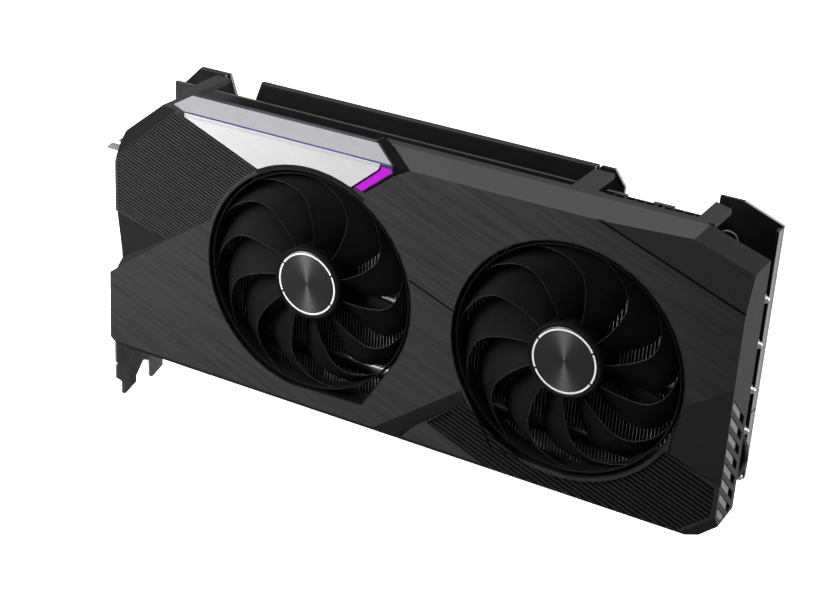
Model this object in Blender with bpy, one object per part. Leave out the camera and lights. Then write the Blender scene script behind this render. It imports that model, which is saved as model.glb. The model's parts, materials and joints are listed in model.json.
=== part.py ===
"""Two-fan graphics card: shroud, fans, cooler, circuit board, bracket and backplate.

World frame: +X runs from the slot bracket to the tail, the fans face -Y and +Z is up.
The origin is the middle of the long contact edge: its bottom face, half way through the board.
Outlines are given in millimetres from the left fan's axis: x along the card, z up, and
depth back from the front face. to_world() turns them into metres in the world frame.
"""

import math

import bmesh
import bpy
from mathutils import Vector

MM = 0.001
GAP = 0.3                    # clearance between neighbouring pieces

# Card
BRACKET_X = -109.0           # outer face of the slot bracket
TAIL_X = 182.5
TOP_Z = 60.3
BOTTOM_Z = -58.3
FRONT_WALL = 2.2
SIDE_WALL = 1.4
SHROUD_DEPTH = 21.0
TOP_WALL_DEPTH = 25.0
TRIM_THICKNESS = 1.0
WINDOW_FLOOR = -51.0         # lowest point of the tail wall's windows

# Circuit board and its contact edge
BOARD_MID = 47.4             # depth of the board's middle plane
BOARD_THICKNESS = 1.57
BOARD_FRONT = BOARD_MID - BOARD_THICKNESS / 2
BOARD_BACK = BOARD_MID + BOARD_THICKNESS / 2
BOARD_LEFT = -100.0
BOARD_RIGHT = 148.0
BOARD_TOP = 52.6
BOARD_BOTTOM = -61.0
CONTACT_BOTTOM = -73.5
KEY_FROM_BRACKET = 57.15     # bracket face to the middle of the key notch
KEY_WIDTH = 1.9
SHORT_CONTACTS = 11.65
LONG_CONTACTS = 71.65
KEY_X = BRACKET_X + KEY_FROM_BRACKET
LONG_LEFT = KEY_X + KEY_WIDTH / 2
LONG_RIGHT = LONG_LEFT + LONG_CONTACTS
SHORT_LEFT = KEY_X - KEY_WIDTH / 2 - SHORT_CONTACTS

# Slot bracket
BRACKET_THICKNESS = 0.86
BRACKET_HEIGHT = 120.02
BRACKET_WIDTH = 38.74
SLOT_PITCH = 20.32
TAB_LENGTH = 8.2
TAB_ABOVE_CONTACTS = 100.36
TAB_TOP = CONTACT_BOTTOM + TAB_ABOVE_CONTACTS
BRACKET_BOTTOM = TAB_TOP - BRACKET_HEIGHT
BRACKET_REAR = BOARD_MID + 3.5
BRACKET_FRONT = BRACKET_REAR - BRACKET_WIDTH
BRACKET_BODY_FRONT = 18.6    # the plate is narrower above its full-width foot
REAR_TONGUE = BRACKET_REAR - 9.2

# Fans
FAN_PITCH = 115.5
FANS = {"left": 0.0, "right": FAN_PITCH}
BLADES = 11
BLADE_START = {"left": 19.0, "right": 8.5}     # degrees
OPENING_RADIUS = 48.5
RIM_WIDTH = 1.8
DUCT_WALL = 1.6
DUCT_DEPTH = 11.0
RING_RADIUS = 47.3
RING_WALL = 0.9
HUB_RADIUS = 15.8
CUP_FRONT = 0.6
CUP_BACK = 10.2
BLADE_FRONT = 1.9
BLADE_BACK = 10.2
BLADE_THICKNESS = 1.1
FRAME_FRONT = 11.4
FRAME_BACK = 13.0
SHAFT_RADIUS = 1.5
ARM_ANGLES = {"left": (-12, 108, 228), "right": (-20, 112, 220)}
ARM_REACH = 55.5

# Cooler
FIN_LEFT = -86.0
FIN_RIGHT = 172.0
FIN_TOP = 46.0
FIN_BOTTOM = -52.0
FIN_FRONT = 14.0
FIN_BASE_FRONT = 33.2
FIN_BASE_BACK = 34.8
FIN_PITCH = 7.2
FIN_THICKNESS = 0.5
PIPE_RADIUS = 3.0
PIPE_DEPTH = 38.1
PIPE_LEFT = -80.0
PIPE_RIGHT = 179.6
PIPE_TAIL_HEIGHTS = (29.0, 10.0, -9.5, -27.5, -48.0)
PIPE_PITCH_AT_PLATE = 7.2
FRONT_PIPE_HEIGHTS = (33.0, -5.8, -37.8)
FRONT_PIPE_DEPTH = 17.6
FRONT_PIPE_LEFT = -74.0
FRONT_PIPE_RIGHT = 160.0
PLATE_FRONT = 41.4
PLATE_BACK = 43.4
GPU_X = -8.0
GPU_Z = -2.0
GPU_SIZE = 42.0
DIE_WIDTH = 22.0
DIE_HEIGHT = 18.0
CHIP_WIDTH = 14.0
CHIP_HEIGHT = 12.0
CHIP_THICKNESS = 1.1

# Backplate
BACKPLATE_FRONT = 50.4
BACKPLATE_BACK = 52.0
BACKPLATE_LEFT = -97.6
BACKPLATE_RIGHT = 177.0
BACKPLATE_TOP = 60.2
BACKPLATE_BOTTOM = -57.0
RIM_FRONT = 48.6
TAIL_RIM_FRONT = 46.0
TAIL_RIM_SLITS = (-23.5, -40.0)
THROUGH_BACKPLATE = (45.0, 55.0)

# Power sockets
SOCKET_PITCH = 4.2
SOCKET_WALL = 0.9
SOCKET_FRONT = 35.2
SOCKET_BACK = 46.2
SOCKET_TOP = 52.4
SOCKET_BOTTOM = 40.0
SOCKET_LEFTS = {"1": 110.4, "2": 130.6}


def to_world(x, depth, z):
    """Left-fan millimetres to world metres."""
    origin_x = (LONG_LEFT + LONG_RIGHT) / 2
    return Vector((x - origin_x, depth - BOARD_MID, z - CONTACT_BOTTOM)) * MM


# Scene, materials and objects

def clear_scene():
    for obj in list(bpy.data.objects):
        bpy.data.objects.remove(obj, do_unlink=True)


def make_material(name, colour, roughness, metallic=0.0, glow=0.0):
    material = bpy.data.materials.new(name)
    material.use_nodes = True
    shader = material.node_tree.nodes["Principled BSDF"]
    shader.inputs["Base Color"].default_value = (*colour, 1.0)
    shader.inputs["Roughness"].default_value = roughness
    shader.inputs["Metallic"].default_value = metallic
    if glow:
        shader.inputs["Emission Color"].default_value = (*colour, 1.0)
        shader.inputs["Emission Strength"].default_value = glow
    return material


def make_object(name, mesh_edit, material=None, smooth_angle=35.0, origin=None):
    """An object from an edited mesh. origin is where its own origin goes, in world metres."""
    bmesh.ops.recalc_face_normals(mesh_edit, faces=mesh_edit.faces)
    if origin is not None:
        bmesh.ops.translate(mesh_edit, verts=mesh_edit.verts, vec=-origin)
    mesh = bpy.data.meshes.new(name)
    mesh_edit.to_mesh(mesh)
    mesh_edit.free()
    if material is not None:
        mesh.materials.append(material)
    mesh.shade_smooth()
    mesh.set_sharp_from_angle(angle=math.radians(smooth_angle))
    obj = bpy.data.objects.new(name, mesh)
    bpy.context.scene.collection.objects.link(obj)
    if origin is not None:
        obj.location = origin
    return obj


def make_helper(name, mesh_edit):
    helper = make_object(name, mesh_edit)
    helper.hide_render = True
    helper.display_type = "WIRE"
    return helper


def boolean(obj, helper, operation):
    modifier = obj.modifiers.new(helper.name, "BOOLEAN")
    modifier.operation = operation
    modifier.solver = "EXACT"
    modifier.object = helper


def cut(obj, mesh_edit, name):
    boolean(obj, make_helper(name, mesh_edit), "DIFFERENCE")


def join(obj, mesh_edit, name):
    boolean(obj, make_helper(name, mesh_edit), "UNION")


# Shapes, all in left-fan millimetres

def add_loft(mesh_edit, rings, closed=False):
    """Skins a list of rings of points, capping both ends or closing the loop."""
    loops = [[mesh_edit.verts.new(to_world(*point)) for point in ring] for ring in rings]
    count = len(loops[0])
    pairs = list(zip(loops, loops[1:]))
    if closed:
        pairs.append((loops[-1], loops[0]))
    for first, second in pairs:
        for i in range(count):
            j = (i + 1) % count
            mesh_edit.faces.new((first[i], first[j], second[j], second[i]))
    if not closed:
        mesh_edit.faces.new(loops[0][::-1])
        mesh_edit.faces.new(loops[-1])


def add_prism(mesh_edit, outline, front, back):
    """An (x, z) outline between two depths."""
    add_loft(mesh_edit, [[(x, depth, z) for x, z in outline] for depth in (front, back)])


def add_flat_prism(mesh_edit, outline, bottom, top):
    """An (x, depth) outline between two heights."""
    add_loft(mesh_edit, [[(x, depth, z) for x, depth in outline] for z in (bottom, top)])


def add_side_prism(mesh_edit, outline, left, right):
    """A (depth, z) outline between two places along the card."""
    add_loft(mesh_edit, [[(x, depth, z) for depth, z in outline] for x in (left, right)])


def add_box(mesh_edit, x_range, depth_range, z_range):
    x0, x1 = x_range
    z0, z1 = z_range
    add_prism(mesh_edit, [(x0, z0), (x1, z0), (x1, z1), (x0, z1)], *depth_range)


def circle(radius, sides, centre=(0.0, 0.0), start=0.0):
    step = math.tau / sides
    return [(centre[0] + radius * math.cos(start + i * step),
             centre[1] + radius * math.sin(start + i * step)) for i in range(sides)]


def arc(radius, from_degrees, to_degrees, steps, centre=(0.0, 0.0)):
    angles = [math.radians(from_degrees + (to_degrees - from_degrees) * i / steps)
              for i in range(steps + 1)]
    return [(centre[0] + radius * math.cos(a), centre[1] + radius * math.sin(a)) for a in angles]


def add_turned(mesh_edit, profile, x, z, sides):
    """A closed (radius, depth) profile turned about the depth axis through (x, z)."""
    rings = []
    for i in range(sides):
        angle = math.tau * i / sides
        rings.append([(x + radius * math.cos(angle), depth, z + radius * math.sin(angle))
                      for radius, depth in profile])
    add_loft(mesh_edit, rings, closed=True)


def add_stack(mesh_edit, x, z, sections, sides):
    """A solid of (radius, depth) sections about the depth axis through (x, z)."""
    add_loft(mesh_edit, [[(px, depth, pz) for px, pz in circle(radius, sides, (x, z))]
                         for radius, depth in sections])


def add_disc(mesh_edit, x, z, radius, front, back, sides=24):
    add_stack(mesh_edit, x, z, [(radius, front), (radius, back)], sides)


def add_tube(mesh_edit, path, radius, sides=8):
    """A round bar along a path of (x, depth, z) points."""
    points = [Vector(point) for point in path]
    side = Vector((0.0, 1.0, 0.0))
    rings = []
    for i, point in enumerate(points):
        along = (points[min(i + 1, len(points) - 1)] - points[max(i - 1, 0)]).normalized()
        side = (side - along * side.dot(along)).normalized()
        up = along.cross(side)
        rings.append([tuple(point + radius * (side * math.cos(a) + up * math.sin(a)))
                      for a in (math.tau * k / sides for k in range(sides))])
    add_loft(mesh_edit, rings)


def smooth_path(points, steps=3):
    """A path through the points, rounded as a Catmull-Rom curve."""
    points = [Vector(point) for point in points]
    padded = [2 * points[0] - points[1]] + points + [2 * points[-1] - points[-2]]
    path = []
    for a, b, c, d in zip(padded, padded[1:], padded[2:], padded[3:]):
        for i in range(steps):
            t = i / steps
            path.append(0.5 * (2 * b + (c - a) * t + (2 * a - 5 * b + 4 * c - d) * t ** 2
                               + (3 * b - a - 3 * c + d) * t ** 3))
    path.append(points[-1])
    return [tuple(point) for point in path]


def inset(outline, distance):
    """The outline moved inwards by a wall's thickness. It runs anticlockwise in (x, z)."""
    moved = []
    count = len(outline)
    for i in range(count):
        before = Vector(outline[i - 1])
        here = Vector(outline[i])
        after = Vector(outline[(i + 1) % count])
        first = (here - before).normalized()
        second = (after - here).normalized()
        first_in = Vector((-first.y, first.x))
        second_in = Vector((-second.y, second.x))
        bisector = (first_in + second_in).normalized()
        moved.append(tuple(here + bisector * distance / bisector.dot(first_in)))
    return moved


FAR_FRONT = -12.0


def plane_depth(plane, x, z):
    """Depth at (x, z) of the plane through three (x, z, depth) points."""
    (x0, z0, d0), (x1, z1, d1), (x2, z2, d2) = plane
    det = (x1 - x0) * (z2 - z0) - (x2 - x0) * (z1 - z0)
    slope_x = ((d1 - d0) * (z2 - z0) - (d2 - d0) * (z1 - z0)) / det
    slope_z = ((x1 - x0) * (d2 - d0) - (x2 - x0) * (d1 - d0)) / det
    return d0 + slope_x * (x - x0) + slope_z * (z - z0)


def add_sloped_cut(mesh_edit, region, plane):
    """Fills the space in front of a sloping plane, over an (x, z) region."""
    floor = [(x, plane_depth(plane, x, z), z) for x, z in region]
    add_loft(mesh_edit, [[(x, FAR_FRONT, z) for x, z in region], floor])


def add_folded_cut(mesh_edit, region, first, second):
    """Fills the space in front of both of two planes, over a convex (x, z) region."""
    spots = []
    for i, (x, z) in enumerate(region):
        next_x, next_z = region[(i + 1) % len(region)]
        here = plane_depth(first, x, z) - plane_depth(second, x, z)
        there = plane_depth(first, next_x, next_z) - plane_depth(second, next_x, next_z)
        spots.append((x, z))
        if here * there < 0:
            share = here / (here - there)
            spots.append((x + (next_x - x) * share, z + (next_z - z) * share))
    corners = []
    for x, z in spots:
        floor = min(plane_depth(first, x, z), plane_depth(second, x, z))
        corners += [(x, FAR_FRONT, z), (x, max(floor, FAR_FRONT + 1.0), z)]
    verts = [mesh_edit.verts.new(to_world(*corner)) for corner in corners]
    bmesh.ops.convex_hull(mesh_edit, input=verts)


# Shroud and its trim

SHROUD_OUTLINE = [
    (158.4, TOP_Z), (-73.0, TOP_Z), (-92.3, 44.6), (-94.7, 39.5), (-97.2, 30.0), (-97.4, -19.5),
    (-101.0, -22.3), (-101.5, -54.0), (-97.0, BOTTOM_Z), (175.5, BOTTOM_Z), (TAIL_X, -52.0),
    (TAIL_X, 52.6),
]


def opening_outline(side, radius):
    """A round fan opening with one straight-sided corner at its lower inner edge."""
    grown = radius - OPENING_RADIUS
    sign = 1 if side == "left" else -1
    round_part = arc(radius, -27, 263, 36)
    corner = (28.0 + 0.8 * grown, -47.0 - 1.3 * grown)
    outline = round_part + [corner]
    placed = [(FANS[side] + sign * x, z) for x, z in outline]
    return placed if sign > 0 else placed[::-1]


def left_rib_panel():
    edge = arc(OPENING_RADIUS + RIM_WIDTH, 119, 161.5, 8)
    return ([(-66.0, 58.6), (-63.2, 58.3)] + edge
            + [(-70.5, 0.4), (-95.6, 8.2), (-95.6, 33.6)])


def right_rib_panel():
    edge = arc(OPENING_RADIUS + RIM_WIDTH, 229, 331, 20, (FAN_PITCH, 0.0))
    return ([(58.5, -45.3), (76.0, -30.5)] + edge
            + [(180.6, -32.9), (180.6, -46.0), (167.5, -57.0), (88.0, -57.0)])


def front_accent_outline(clear):
    edge = arc(OPENING_RADIUS + 2.2 - clear, 68.4 - 4 * clear, 119.5, 10)
    return [(-61.6 - 4.6 * clear, 58.4 + clear), (30.9 + 3 * clear, 58.4 + clear),
            (30.5 + 2 * clear, 57.3 - clear)] + edge


def top_accent_outline(clear):
    return [(-61.8 - clear, 0.8 - clear), (36.0 + 2.5 * clear, 0.8 - clear),
            (19.6 + clear, 18.0 + clear), (-70.0 - clear, 18.0 + clear), (-70.0 - clear, 5.0 - clear)]


def light_bar_outline(clear):
    return [(31.9 - clear, 58.9 + clear / 3), (36.0 + clear, 58.9 + clear / 3),
            (36.6 + 1.4 * clear, 57.2 - 0.5 * clear), (24.0 + clear, 46.7 - 1.2 * clear),
            (20.3 - 2.2 * clear, 47.5 - 0.6 * clear), (31.5 - clear, 57.1 + clear / 2)]


def end_window(index):
    """One slanted window of the tail wall, as a (depth, z) outline cut short at the lower bevel."""
    top = 4.2 - 6.55 * index
    bottom = top - 3.7
    fall = 0.9
    front, back = 1.6, 17.6
    top_back = min(back, front + (top - WINDOW_FLOOR) / fall)
    bottom_back = min(back, front + (bottom - WINDOW_FLOOR) / fall)
    return [(front, top), (front, bottom), (bottom_back, bottom - fall * (bottom_back - front)),
            (top_back, top - fall * (top_back - front))]


def shroud_slopes(shroud):
    slopes = {
        "upper_left_bevel": (
            [(-120.0, 13.0), (-58.0, 65.6), (-58.0, 80.0), (-120.0, 80.0)],
            [(-95.5, 34.0, 0.0), (-66.0, 59.0, 0.0), (-73.0, 60.3, 1.6)]),
        "upper_right_facet": (
            [(118.0, 62.3), (190.0, 36.3), (190.0, 75.0), (118.0, 75.0)],
            [(123.5, 60.3, 0.0), (182.5, 39.0, 0.0), (182.5, 52.6, 5.2)]),
        "lower_wedge": (
            [(29.2, -59.4), (73.0, -26.0), (76.4, -30.4), (58.5, -45.0), (53.0, -49.3), (44.0, -59.4)],
            [(35.0, -55.0, 0.0), (73.0, -26.0, 0.0), (58.0, -44.5, 1.6)]),
        "right_facet": (
            [(163.0, -5.0), (195.0, 17.8), (195.0, -36.0), (160.5, -26.0)],
            [(182.5, 9.0, 0.0), (163.0, -5.0, 0.0), (182.5, -33.0, 1.2)]),
        "lower_edge_bevel": (
            [(-120.0, -54.4), (200.0, -54.4), (200.0, -66.0), (-120.0, -66.0)],
            [(0.0, -55.6, 0.0), (50.0, -55.6, 0.0), (0.0, BOTTOM_Z, 2.2)]),
        "lower_right_bevel": (
            [(150.0, -70.0), (200.0, -70.0), (200.0, -29.0)],
            [(182.5, -45.5, 0.0), (167.5, -58.4, 0.0), (179.0, -55.2, 5.0)]),
    }
    for name, (region, plane) in slopes.items():
        cutter = bmesh.new()
        add_sloped_cut(cutter, region, plane)
        cut(shroud, cutter, "cut_" + name)
    cutter = bmesh.new()
    add_folded_cut(cutter, [(-110.0, 10.7), (-69.8, 1.0), (-66.0, -3.0), (-110.0, -36.0)],
                   [(-96.0, 8.0, 0.8), (-70.5, 0.0, 0.8), (-97.4, -15.8, 4.4)],
                   [(-69.8, 1.0, 0.0), (-101.0, -22.4, 0.0), (-97.4, -15.8, 4.4)])
    cut(shroud, cutter, "cut_left_facet")


def shroud_pockets(shroud):
    panels = bmesh.new()
    add_prism(panels, left_rib_panel(), -6.0, 0.8)
    add_prism(panels, right_rib_panel(), -6.0, 1.6)
    add_prism(panels, [(47.2, 15.2), (46.9, 14.3), (67.4, 6.6), (67.7, 7.5)], -6.0, 0.9)
    cut(shroud, panels, "cut_panels")

    seats = bmesh.new()
    add_prism(seats, front_accent_outline(GAP), -6.0, TRIM_THICKNESS + GAP)
    cut(shroud, seats, "cut_front_accent_seat")
    seats = bmesh.new()
    add_flat_prism(seats, top_accent_outline(GAP), TOP_Z - TRIM_THICKNESS - GAP, TOP_Z + 10.0)
    cut(shroud, seats, "cut_top_accent_seat")
    seats = bmesh.new()
    add_prism(seats, light_bar_outline(GAP), -6.0, FRONT_WALL + 1.0)
    cut(shroud, seats, "cut_light_bar_seat")

    groove = bmesh.new()
    add_sloped_cut(groove, [(121.5, 60.55), (121.9, 61.6), (184.5, 38.9), (184.1, 37.8)],
                   [(123.5, 60.3, 0.9), (182.5, 39.0, 0.9), (182.5, 52.6, 0.9)])
    cut(shroud, groove, "cut_long_groove")

    windows = bmesh.new()
    for index in range(8):
        add_side_prism(windows, end_window(index), TAIL_X - SIDE_WALL - 0.05, TAIL_X + 4.0)
    cut(shroud, windows, "cut_tail_windows")


def build_shroud(material):
    body = bmesh.new()
    add_prism(body, SHROUD_OUTLINE, 0.0, SHROUD_DEPTH)
    shroud = make_object("shroud", body, material)

    hollow = bmesh.new()
    add_prism(hollow, inset(SHROUD_OUTLINE, SIDE_WALL), FRONT_WALL, SHROUD_DEPTH + 10.0)
    cut(shroud, hollow, "cut_hollow")

    extra = bmesh.new()
    under = TOP_Z - 2.2
    outline = [(-70.5, 6.0), (150.0, 6.0), (157.5, 22.5), (159.5, 22.5), (159.5, 40.0),
               (152.0, 43.5), (152.0, TOP_WALL_DEPTH), (109.5, TOP_WALL_DEPTH), (109.5, 46.0),
               (101.0, 46.0), (101.0, TOP_WALL_DEPTH), (18.0, TOP_WALL_DEPTH), (18.0, 20.4),
               (-70.5, 20.4), (-70.5, 46.0), (-77.5, 46.0), (-77.5, 20.4), (-73.0, 15.0)]
    add_flat_prism(extra, outline, under, TOP_Z)
    join(shroud, extra, "join_top_wall_and_arms")

    thick_corners = bmesh.new()
    top_corner = [(157.0, 59.4), (124.0, 59.4), (181.6, 38.2), (181.6, 51.2)]
    add_prism(thick_corners, top_corner, 1.5, 7.4)
    bottom_corner = [(181.6, -46.4), (167.5, -57.6), (174.5, -57.6), (181.6, -51.2)]
    add_prism(thick_corners, bottom_corner, 1.7, 8.0)
    left_step = [(-96.6, 9.0), (-96.6, -23.0), (-73.5, -3.5), (-72.0, 1.5)]
    add_prism(thick_corners, left_step, 1.6, 7.2)
    join(shroud, thick_corners, "join_thick_corners")

    for side in FANS:
        duct = bmesh.new()
        add_prism(duct, opening_outline(side, OPENING_RADIUS + DUCT_WALL), 1.0, DUCT_DEPTH)
        join(shroud, duct, "join_duct_" + side)
        bosses = bmesh.new()
        for angle in ARM_ANGLES[side]:
            x = FANS[side] + ARM_REACH * math.cos(math.radians(angle))
            z = ARM_REACH * math.sin(math.radians(angle))
            add_disc(bosses, x, z, 3.4, 1.2, DUCT_DEPTH, 10)
        join(shroud, bosses, "join_bosses_" + side)
    for side in FANS:
        opening = bmesh.new()
        add_prism(opening, opening_outline(side, OPENING_RADIUS), -5.0, DUCT_DEPTH + 5.0)
        cut(shroud, opening, "cut_opening_" + side)

    shroud_slopes(shroud)
    shroud_pockets(shroud)
    return shroud


def build_trim(silver, light, board):
    front = bmesh.new()
    add_prism(front, front_accent_outline(0.0), 0.0, TRIM_THICKNESS)
    make_object("accent_plate_front", front, silver)

    top = bmesh.new()
    add_flat_prism(top, top_accent_outline(0.0), TOP_Z - TRIM_THICKNESS, TOP_Z)
    make_object("accent_plate_top", top, silver)

    bar = bmesh.new()
    add_prism(bar, light_bar_outline(0.0), 0.0, FRONT_WALL + 0.7)
    make_object("light_bar", bar, light)

    strip = bmesh.new()
    add_prism(strip, [(26.5, 46.5), (37.5, 56.5), (33.5, 57.2), (20.5, 49.6)],
              FRONT_WALL + 1.3, FRONT_WALL + 2.3)
    make_object("light_board", strip, board)

    backing = bmesh.new()
    right = TAIL_X - SIDE_WALL - 0.2
    front, back = FRONT_WALL + GAP, SHROUD_DEPTH - 0.6
    outline = [(front, 6.0), (back, 6.0), (back, WINDOW_FLOOR), (8.4, WINDOW_FLOOR), (8.4, -46.0),
               (front, -46.0)]
    add_side_prism(backing, outline, right - 0.5, right)
    make_object("tail_vent_plate", backing, silver)


# Fans

def blade_sweep(radius):
    """Degrees that a blade's front edge leads its root, growing towards the tip."""
    reach = (radius - 16.0) / 18.4
    tip = max(radius - 30.0, 0.0) / 16.5
    return 8.8 * max(reach, 0.0) ** 1.15 + 22.0 * tip ** 3


def add_blade(mesh_edit, x, start, radii, steps):
    """One blade from the hub to the ring, as a curved slab."""
    rings = []
    for radius in radii:
        lead = start + blade_sweep(radius)
        chord = 25.0 - 3.0 * (radius - HUB_RADIUS) / (RING_RADIUS - HUB_RADIUS)
        front, back = [], []
        for i in range(steps + 1):
            share = i / steps
            angle = math.radians(lead - chord * share)
            depth = BLADE_FRONT + (BLADE_BACK - BLADE_FRONT - BLADE_THICKNESS) * share ** 0.85
            taper = BLADE_THICKNESS * (0.45 + 0.55 * math.sin(math.pi * (0.12 + 0.76 * share)))
            px = x + radius * math.cos(angle)
            pz = radius * math.sin(angle)
            front.append((px, depth, pz))
            back.append((px, depth + taper, pz))
        rings.append(front + back[::-1])
    add_loft(mesh_edit, rings)


def build_rotor(side, material):
    x = FANS[side]
    cup = bmesh.new()
    cup_profile = [(14.3, 0.15), (15.2, 0.15), (HUB_RADIUS, 0.9), (HUB_RADIUS, CUP_BACK),
                   (14.8, CUP_BACK), (14.8, 1.8), (2.6, 1.8), (2.6, CUP_FRONT), (14.3, CUP_FRONT)]
    add_turned(cup, cup_profile, x, 0.0, 33)
    rotor = make_object("fan_rotor_" + side, cup, material, origin=to_world(x, 0.0, 0.0))

    outer = RING_RADIUS
    inner = RING_RADIUS - RING_WALL
    ring = bmesh.new()
    add_turned(ring, [(inner, 1.0), (outer, 1.0), (outer, 8.6), (inner, 8.6)], x, 0.0, 44)
    join(rotor, ring, "join_ring_" + side)

    radii = (HUB_RADIUS - 0.5, 24.0, 32.0, 39.0, 43.5, RING_RADIUS - RING_WALL / 2)
    blades = bmesh.new()
    for i in range(BLADES):
        add_blade(blades, x, BLADE_START[side] + 360.0 * i / BLADES, radii, 3)
    join(rotor, blades, "join_blades_" + side)
    return rotor


def build_motor(side, materials):
    """The pieces on each fan's axis, behind its rotor."""
    x = FANS[side]
    axis = to_world(x, 0.0, 0.0)

    cap = bmesh.new()
    add_stack(cap, x, 0.0, [(13.6, 0.0), (14.0, 0.12), (14.0, 0.4)], 32)
    make_object("hub_cap_" + side, cap, materials["cap"], origin=axis)

    magnet = bmesh.new()
    add_turned(magnet, [(13.0, 3.0), (14.5, 3.0), (14.5, 9.8), (13.0, 9.8)], x, 0.0, 24)
    make_object("rotor_magnet_" + side, magnet, materials["ferrite"], origin=axis)

    shaft = bmesh.new()
    add_disc(shaft, x, 0.0, SHAFT_RADIUS, 0.9, 10.9, 16)
    make_object("fan_shaft_" + side, shaft, materials["steel"], origin=axis)

    bearing = bmesh.new()
    bore = SHAFT_RADIUS + 0.08
    add_turned(bearing, [(bore, 2.4), (3.6, 2.4), (3.6, 11.1), (bore, 11.1)], x, 0.0, 16)
    make_object("fan_bearing_" + side, bearing, materials["bronze"])

    stator = bmesh.new()
    poles = 9
    outline = []
    for i in range(poles):
        middle = 360.0 * i / poles
        outline += arc(12.4, middle - 16, middle + 16, 1, (x, 0.0))
        outline += arc(7.0, middle + 10, middle + 30, 1, (x, 0.0))
    add_prism(stator, outline, 3.4, 9.4)
    stator_object = make_object("fan_stator_" + side, stator, materials["winding"])
    bore_cut = bmesh.new()
    add_disc(bore_cut, x, 0.0, 3.9, 2.0, 12.0, 12)
    cut(stator_object, bore_cut, "cut_stator_bore_" + side)


def build_fan_frame(side, material):
    """The motor base with three arms that screw to the shroud's bosses."""
    x = FANS[side]
    base = bmesh.new()
    add_disc(base, x, 0.0, 16.6, FRAME_FRONT, FRAME_BACK, 24)
    frame = make_object("fan_frame_" + side, base, material)
    for number, degrees in enumerate(ARM_ANGLES[side]):
        along = Vector((math.cos(math.radians(degrees)), math.sin(math.radians(degrees))))
        across = Vector((-along.y, along.x))
        start = along * 13.0
        end = along * (ARM_REACH - 1.5)
        corners = [start - across * 3.4, end - across * 2.2, end + across * 2.2, start + across * 3.4]
        arm = bmesh.new()
        add_prism(arm, [(x + c.x, c.y) for c in corners], FRAME_FRONT + 0.1, FRAME_BACK - 0.1)
        join(frame, arm, f"join_arm_{side}_{number}")
        ear = bmesh.new()
        add_disc(ear, x + along.x * ARM_REACH, along.y * ARM_REACH, 4.2, FRAME_FRONT, FRAME_BACK, 10)
        join(frame, ear, f"join_ear_{side}_{number}")


def build_cables(material, thin_material):
    left = bmesh.new()
    path = [(38.0, 13.7, 49.5), (45.0, 18.0, 52.5), (46.0, 32.0, 53.0), (44.0, 43.0, 50.0),
            (42.0, 45.2, 46.0)]
    add_tube(left, smooth_path(path), 1.1, 6)
    make_object("fan_cable_left", left, material)

    right = bmesh.new()
    path = [(174.5, 20.0, -16.0), (176.8, 21.0, -33.0), (178.8, 25.5, -41.0), (179.3, 30.8, -43.4),
            (179.5, 35.9, -43.5), (179.4, 38.7, -41.5), (179.0, 39.6, -38.0), (177.0, 41.7, -34.3),
            (173.5, 43.8, -31.5), (167.0, 45.2, -31.0), (150.5, 45.0, -32.0)]
    add_tube(right, smooth_path(path, 2), 1.2, 8)
    make_object("fan_cable_right", right, material)

    wire = bmesh.new()
    path = [(163.0, 36.0, 53.0), (168.5, 31.0, 55.0), (173.0, 26.0, 51.5), (174.6, 22.5, 44.0)]
    add_tube(wire, smooth_path(path), 0.6, 6)
    make_object("light_cable", wire, thin_material)


# Cooler

def fin_outline():
    """Fins and their base as one (x, depth) comb."""
    count = int((FIN_RIGHT - FIN_LEFT - FIN_THICKNESS) / FIN_PITCH)
    pitch = (FIN_RIGHT - FIN_LEFT - FIN_THICKNESS) / count
    outline = [(FIN_RIGHT, FIN_BASE_BACK), (FIN_LEFT, FIN_BASE_BACK)]
    for i in range(count + 1):
        left = FIN_LEFT + i * pitch
        right = left + FIN_THICKNESS
        if i:
            outline.append((left, FIN_BASE_FRONT))
        outline += [(left, FIN_FRONT), (right, FIN_FRONT)]
        if i < count:
            outline.append((right, FIN_BASE_FRONT))
    return outline


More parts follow.
